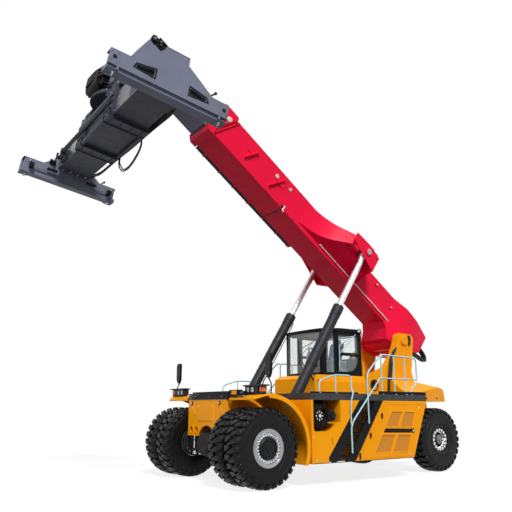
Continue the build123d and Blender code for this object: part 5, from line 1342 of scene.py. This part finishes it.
# ---------------------------------------------------------------- end beams
for name, side in both_sides():
    body = f"spreader_end_{name}"
    dark, steel, grey, rod = shapes(body, f"lock_drives_and_slot_shade_{name} cast", f"lock_links_{name} dull",
        f"end_beam_edges_{name} slate", f"extension_rod_{name} chrome", at=SPREADER)
    y = side * EXTENSION_Y
    rod.rod((-1.1, y, EXTENSION_Z), (2.76, y, EXTENSION_Z), 0.026, 24)
    dark.rod((2.69, y - 0.06, EXTENSION_Z), (2.69, y + 0.06, EXTENSION_Z), 0.048, 24)
    dark.box((2.69, y - 0.075, 0.385), (2.772, y + 0.075, 0.495), 0.008)
    for b in (-1, 1):
        # corner housings, plates and screws, and the drive of the lock
        y0, y1 = sorted((b * 1.05, b * 1.276))
        grey.box((2.775, y0, -0.066), (3.036, y1, -0.046), 0.004)
        dark.box((2.795, y0 + 0.01, 0.335), (3.016, y1 - 0.01, 0.352), 0.004)
        grey.box((3.028, b * 1.06, -0.06), (3.046, b * 1.1, 0.06), 0.003)
        for yy, z in ((1.235, 0.29), (1.235, 0.1), (1.1, 0.29), (1.1, 0.09)):
            steel.bolt((3.03, b * yy, z), EX, 0.026, 0.012)
        dark.turned([(0, 0.04), (0.008, 0.04), (0.008, 0)], (3.029, b * 1.168, 0.19), EX, 24)
        dark.box((2.6, b, 0.06), (2.75, b * 1.1, 0.19), 0.012)
        steel.rod((2.69, b * 0.62, 0.12), (2.69, b * 1.02, 0.12), 0.018)
        dark.rod((2.66, b * 0.4, 0.18), (2.66, b * 0.66, 0.18), 0.04, 24)
        steel.turned([(0, 0.032), (0.06, 0.03), (0.075, 0.018)], (2.7, b * 1.1, 0.21), EZ, 16)
        steel.bolt((2.926, b * 1.1295, 0.192), EZ, 0.05, 0.026)
        # landing pins beside the locks
        steel.rod((2.83, b * 1.2, -0.1), (2.83, b * 1.2, -0.04), 0.016)
        # dark plate behind each slot in the outer plate and a dark border round it: painted shade, so the slots
        # read deep and wider
        slot = [(b * 0.775, 0.186), (b * 0.375, 0.155), (b * 0.375, 0.325), (b * 0.745, 0.254)]
        dark.prism(inward(slot, -0.02), "x", 2.96, 2.972)
        dark.rim(inward(slot, -0.03), inward(slot, 0.001), 3.02, 3.034)
    grey.box((2.985, -1.268, 0.018), (3.038, 1.268, 0.034), 0.003)
    grey.box((2.985, -0.255, 0.915), (3.036, 0.255, 0.931), 0.003)
    # ribs behind the plate
    for yy in (-0.95, -0.6, 0.6, 0.95):
        grey.box((2.8, yy - 0.006, 0.335), (2.99, yy + 0.006, 0.36 if abs(yy) > 0.9 else 0.5), 0.002)
    # plate between the lock drives, and the lifting lug on top
    dark.box((2.76, -0.3, 0.34), (2.8, 0.3, 0.46), 0.006)
    grey.prism([(-0.16, 0.9), (0.1, 0.9), (0.06, 0.99), (-0.02, 1.02), (-0.12, 0.99)], "x", 2.9, 2.93, 0.003)
    dark.turned([(-0.02, 0.045), (-0.02, 0.03), (0.05, 0.03), (0.05, 0.045)], (2.9, -0.03, 0.955), EX, 24,
        closed=True)
    # guide arm that stands out at the rear corner, with its ball
    steel.rod((3.0, 0.79, 0.33), (3.0, 0.8, 0.375), 0.03)
    dark.rod((2.965, 0.79, 0.34), (2.965, 0.945, 0.5), 0.018)
    dark.turned([(-0.03, 0), (-0.026, 0.02), (0, 0.036), (0.026, 0.02), (0.03, 0)], (2.965, 0.955, 0.512),
        (0, 0.7, 0.7), 20)

# ---------------------------------------------------------------- boom head
dark, steel, grey, hoses = shapes("boom_section", "head_fittings cast", "head_bolts dull",
    "head_straps slate", "head_hoses hose", at=BOOM)
LEVEL_PIN_S = 10.196
for _, side in both_sides():
    dark.turned([(0, 0.15), (0.012, 0.15), (0.02, 0.13), (0.02, 0.115), (0, 0.115)],
        (0.36, -0.258, LEVEL_PIN_S), EX, 40, closed=True)
    for t, s in ((0.9, 10.38), (0.6, 10.4), (0.32, 10.4), (0.95, 9.75), (0.4, 9.7)):
        steel.bolt((0.36, t, s), EX, 0.034, 0.014)
    grey.prism([(0.36, 9.56), (0.95, 9.6), (0.93, 9.66), (0.4, 9.64)], "x", 0.358, 0.372)
    # small level cylinder in the notch on the head's top
    dark.turned([(9.82, 0), (9.82, 0.04), (9.83, 0.05), (10.12, 0.05), (10.13, 0.04), (10.13, 0.028),
        (10.33, 0.028), (10.34, 0.04), (10.36, 0)], (0.29, 1.02, 0), EZ, 28)
    dark.turned([(-0.045, 0), (-0.045, 0.07), (-0.036, 0.08), (0.036, 0.08), (0.045, 0.07), (0.045, 0)],
        (0.29, 0.98, 10.34), (side, 0, 0), 32)
    for s in (9.86, 10.08):
        steel.bolt((0.29, 1.07, s), EY, 0.03)
    # sheaves and pins on the cheek, and behind them a dark plate set in the cheek's face: painted shade of the
    # notch
    dark.prism([(0.8, 10.1), (0.8, 10.44), (0.96, 10.44), (0.96, 10.06)], "x", 0.356, 0.366, 0.003)
    for t, s, r, w in ((0.9, 10.4, 0.085, 0.075), (0.985, 10.24, 0.062, 0.06), (0.9, 10.19, 0.045, 0.07)):
        dark.turned([(0, r), (w - 0.012, r), (w, r - 0.012), (w, r * 0.55), (w - 0.01, r * 0.5),
            (w - 0.01, 0)], (0.358, t, s), EX, 36)
        steel.bolt((0.348 + w, t, s), EX, r * 0.6, 0.012)
    dark.rod((0.39, 1.02, 10.06), (0.39, 1.02, 10.33), 0.036, 24)
dark.box((-0.24, 0.948, 9.9), (0.24, 1.0, 10.3), 0.016)
for k in range(4):  # hoses over the top into the section
    x = -0.18 + 0.12 * k
    hoses.tube([(x, 0.99, 10.3), (x * 0.9, 1.02, 10.15), (x * 0.9, 1.02, 9.95), (x, 0.99, 9.8),
        (x, 0.96, 9.4)], 0.02, 10)

# ---------------------------------------------------------------- the pieces themselves
for shape in list(Shape.begun):
    shape.done()

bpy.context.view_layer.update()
import json
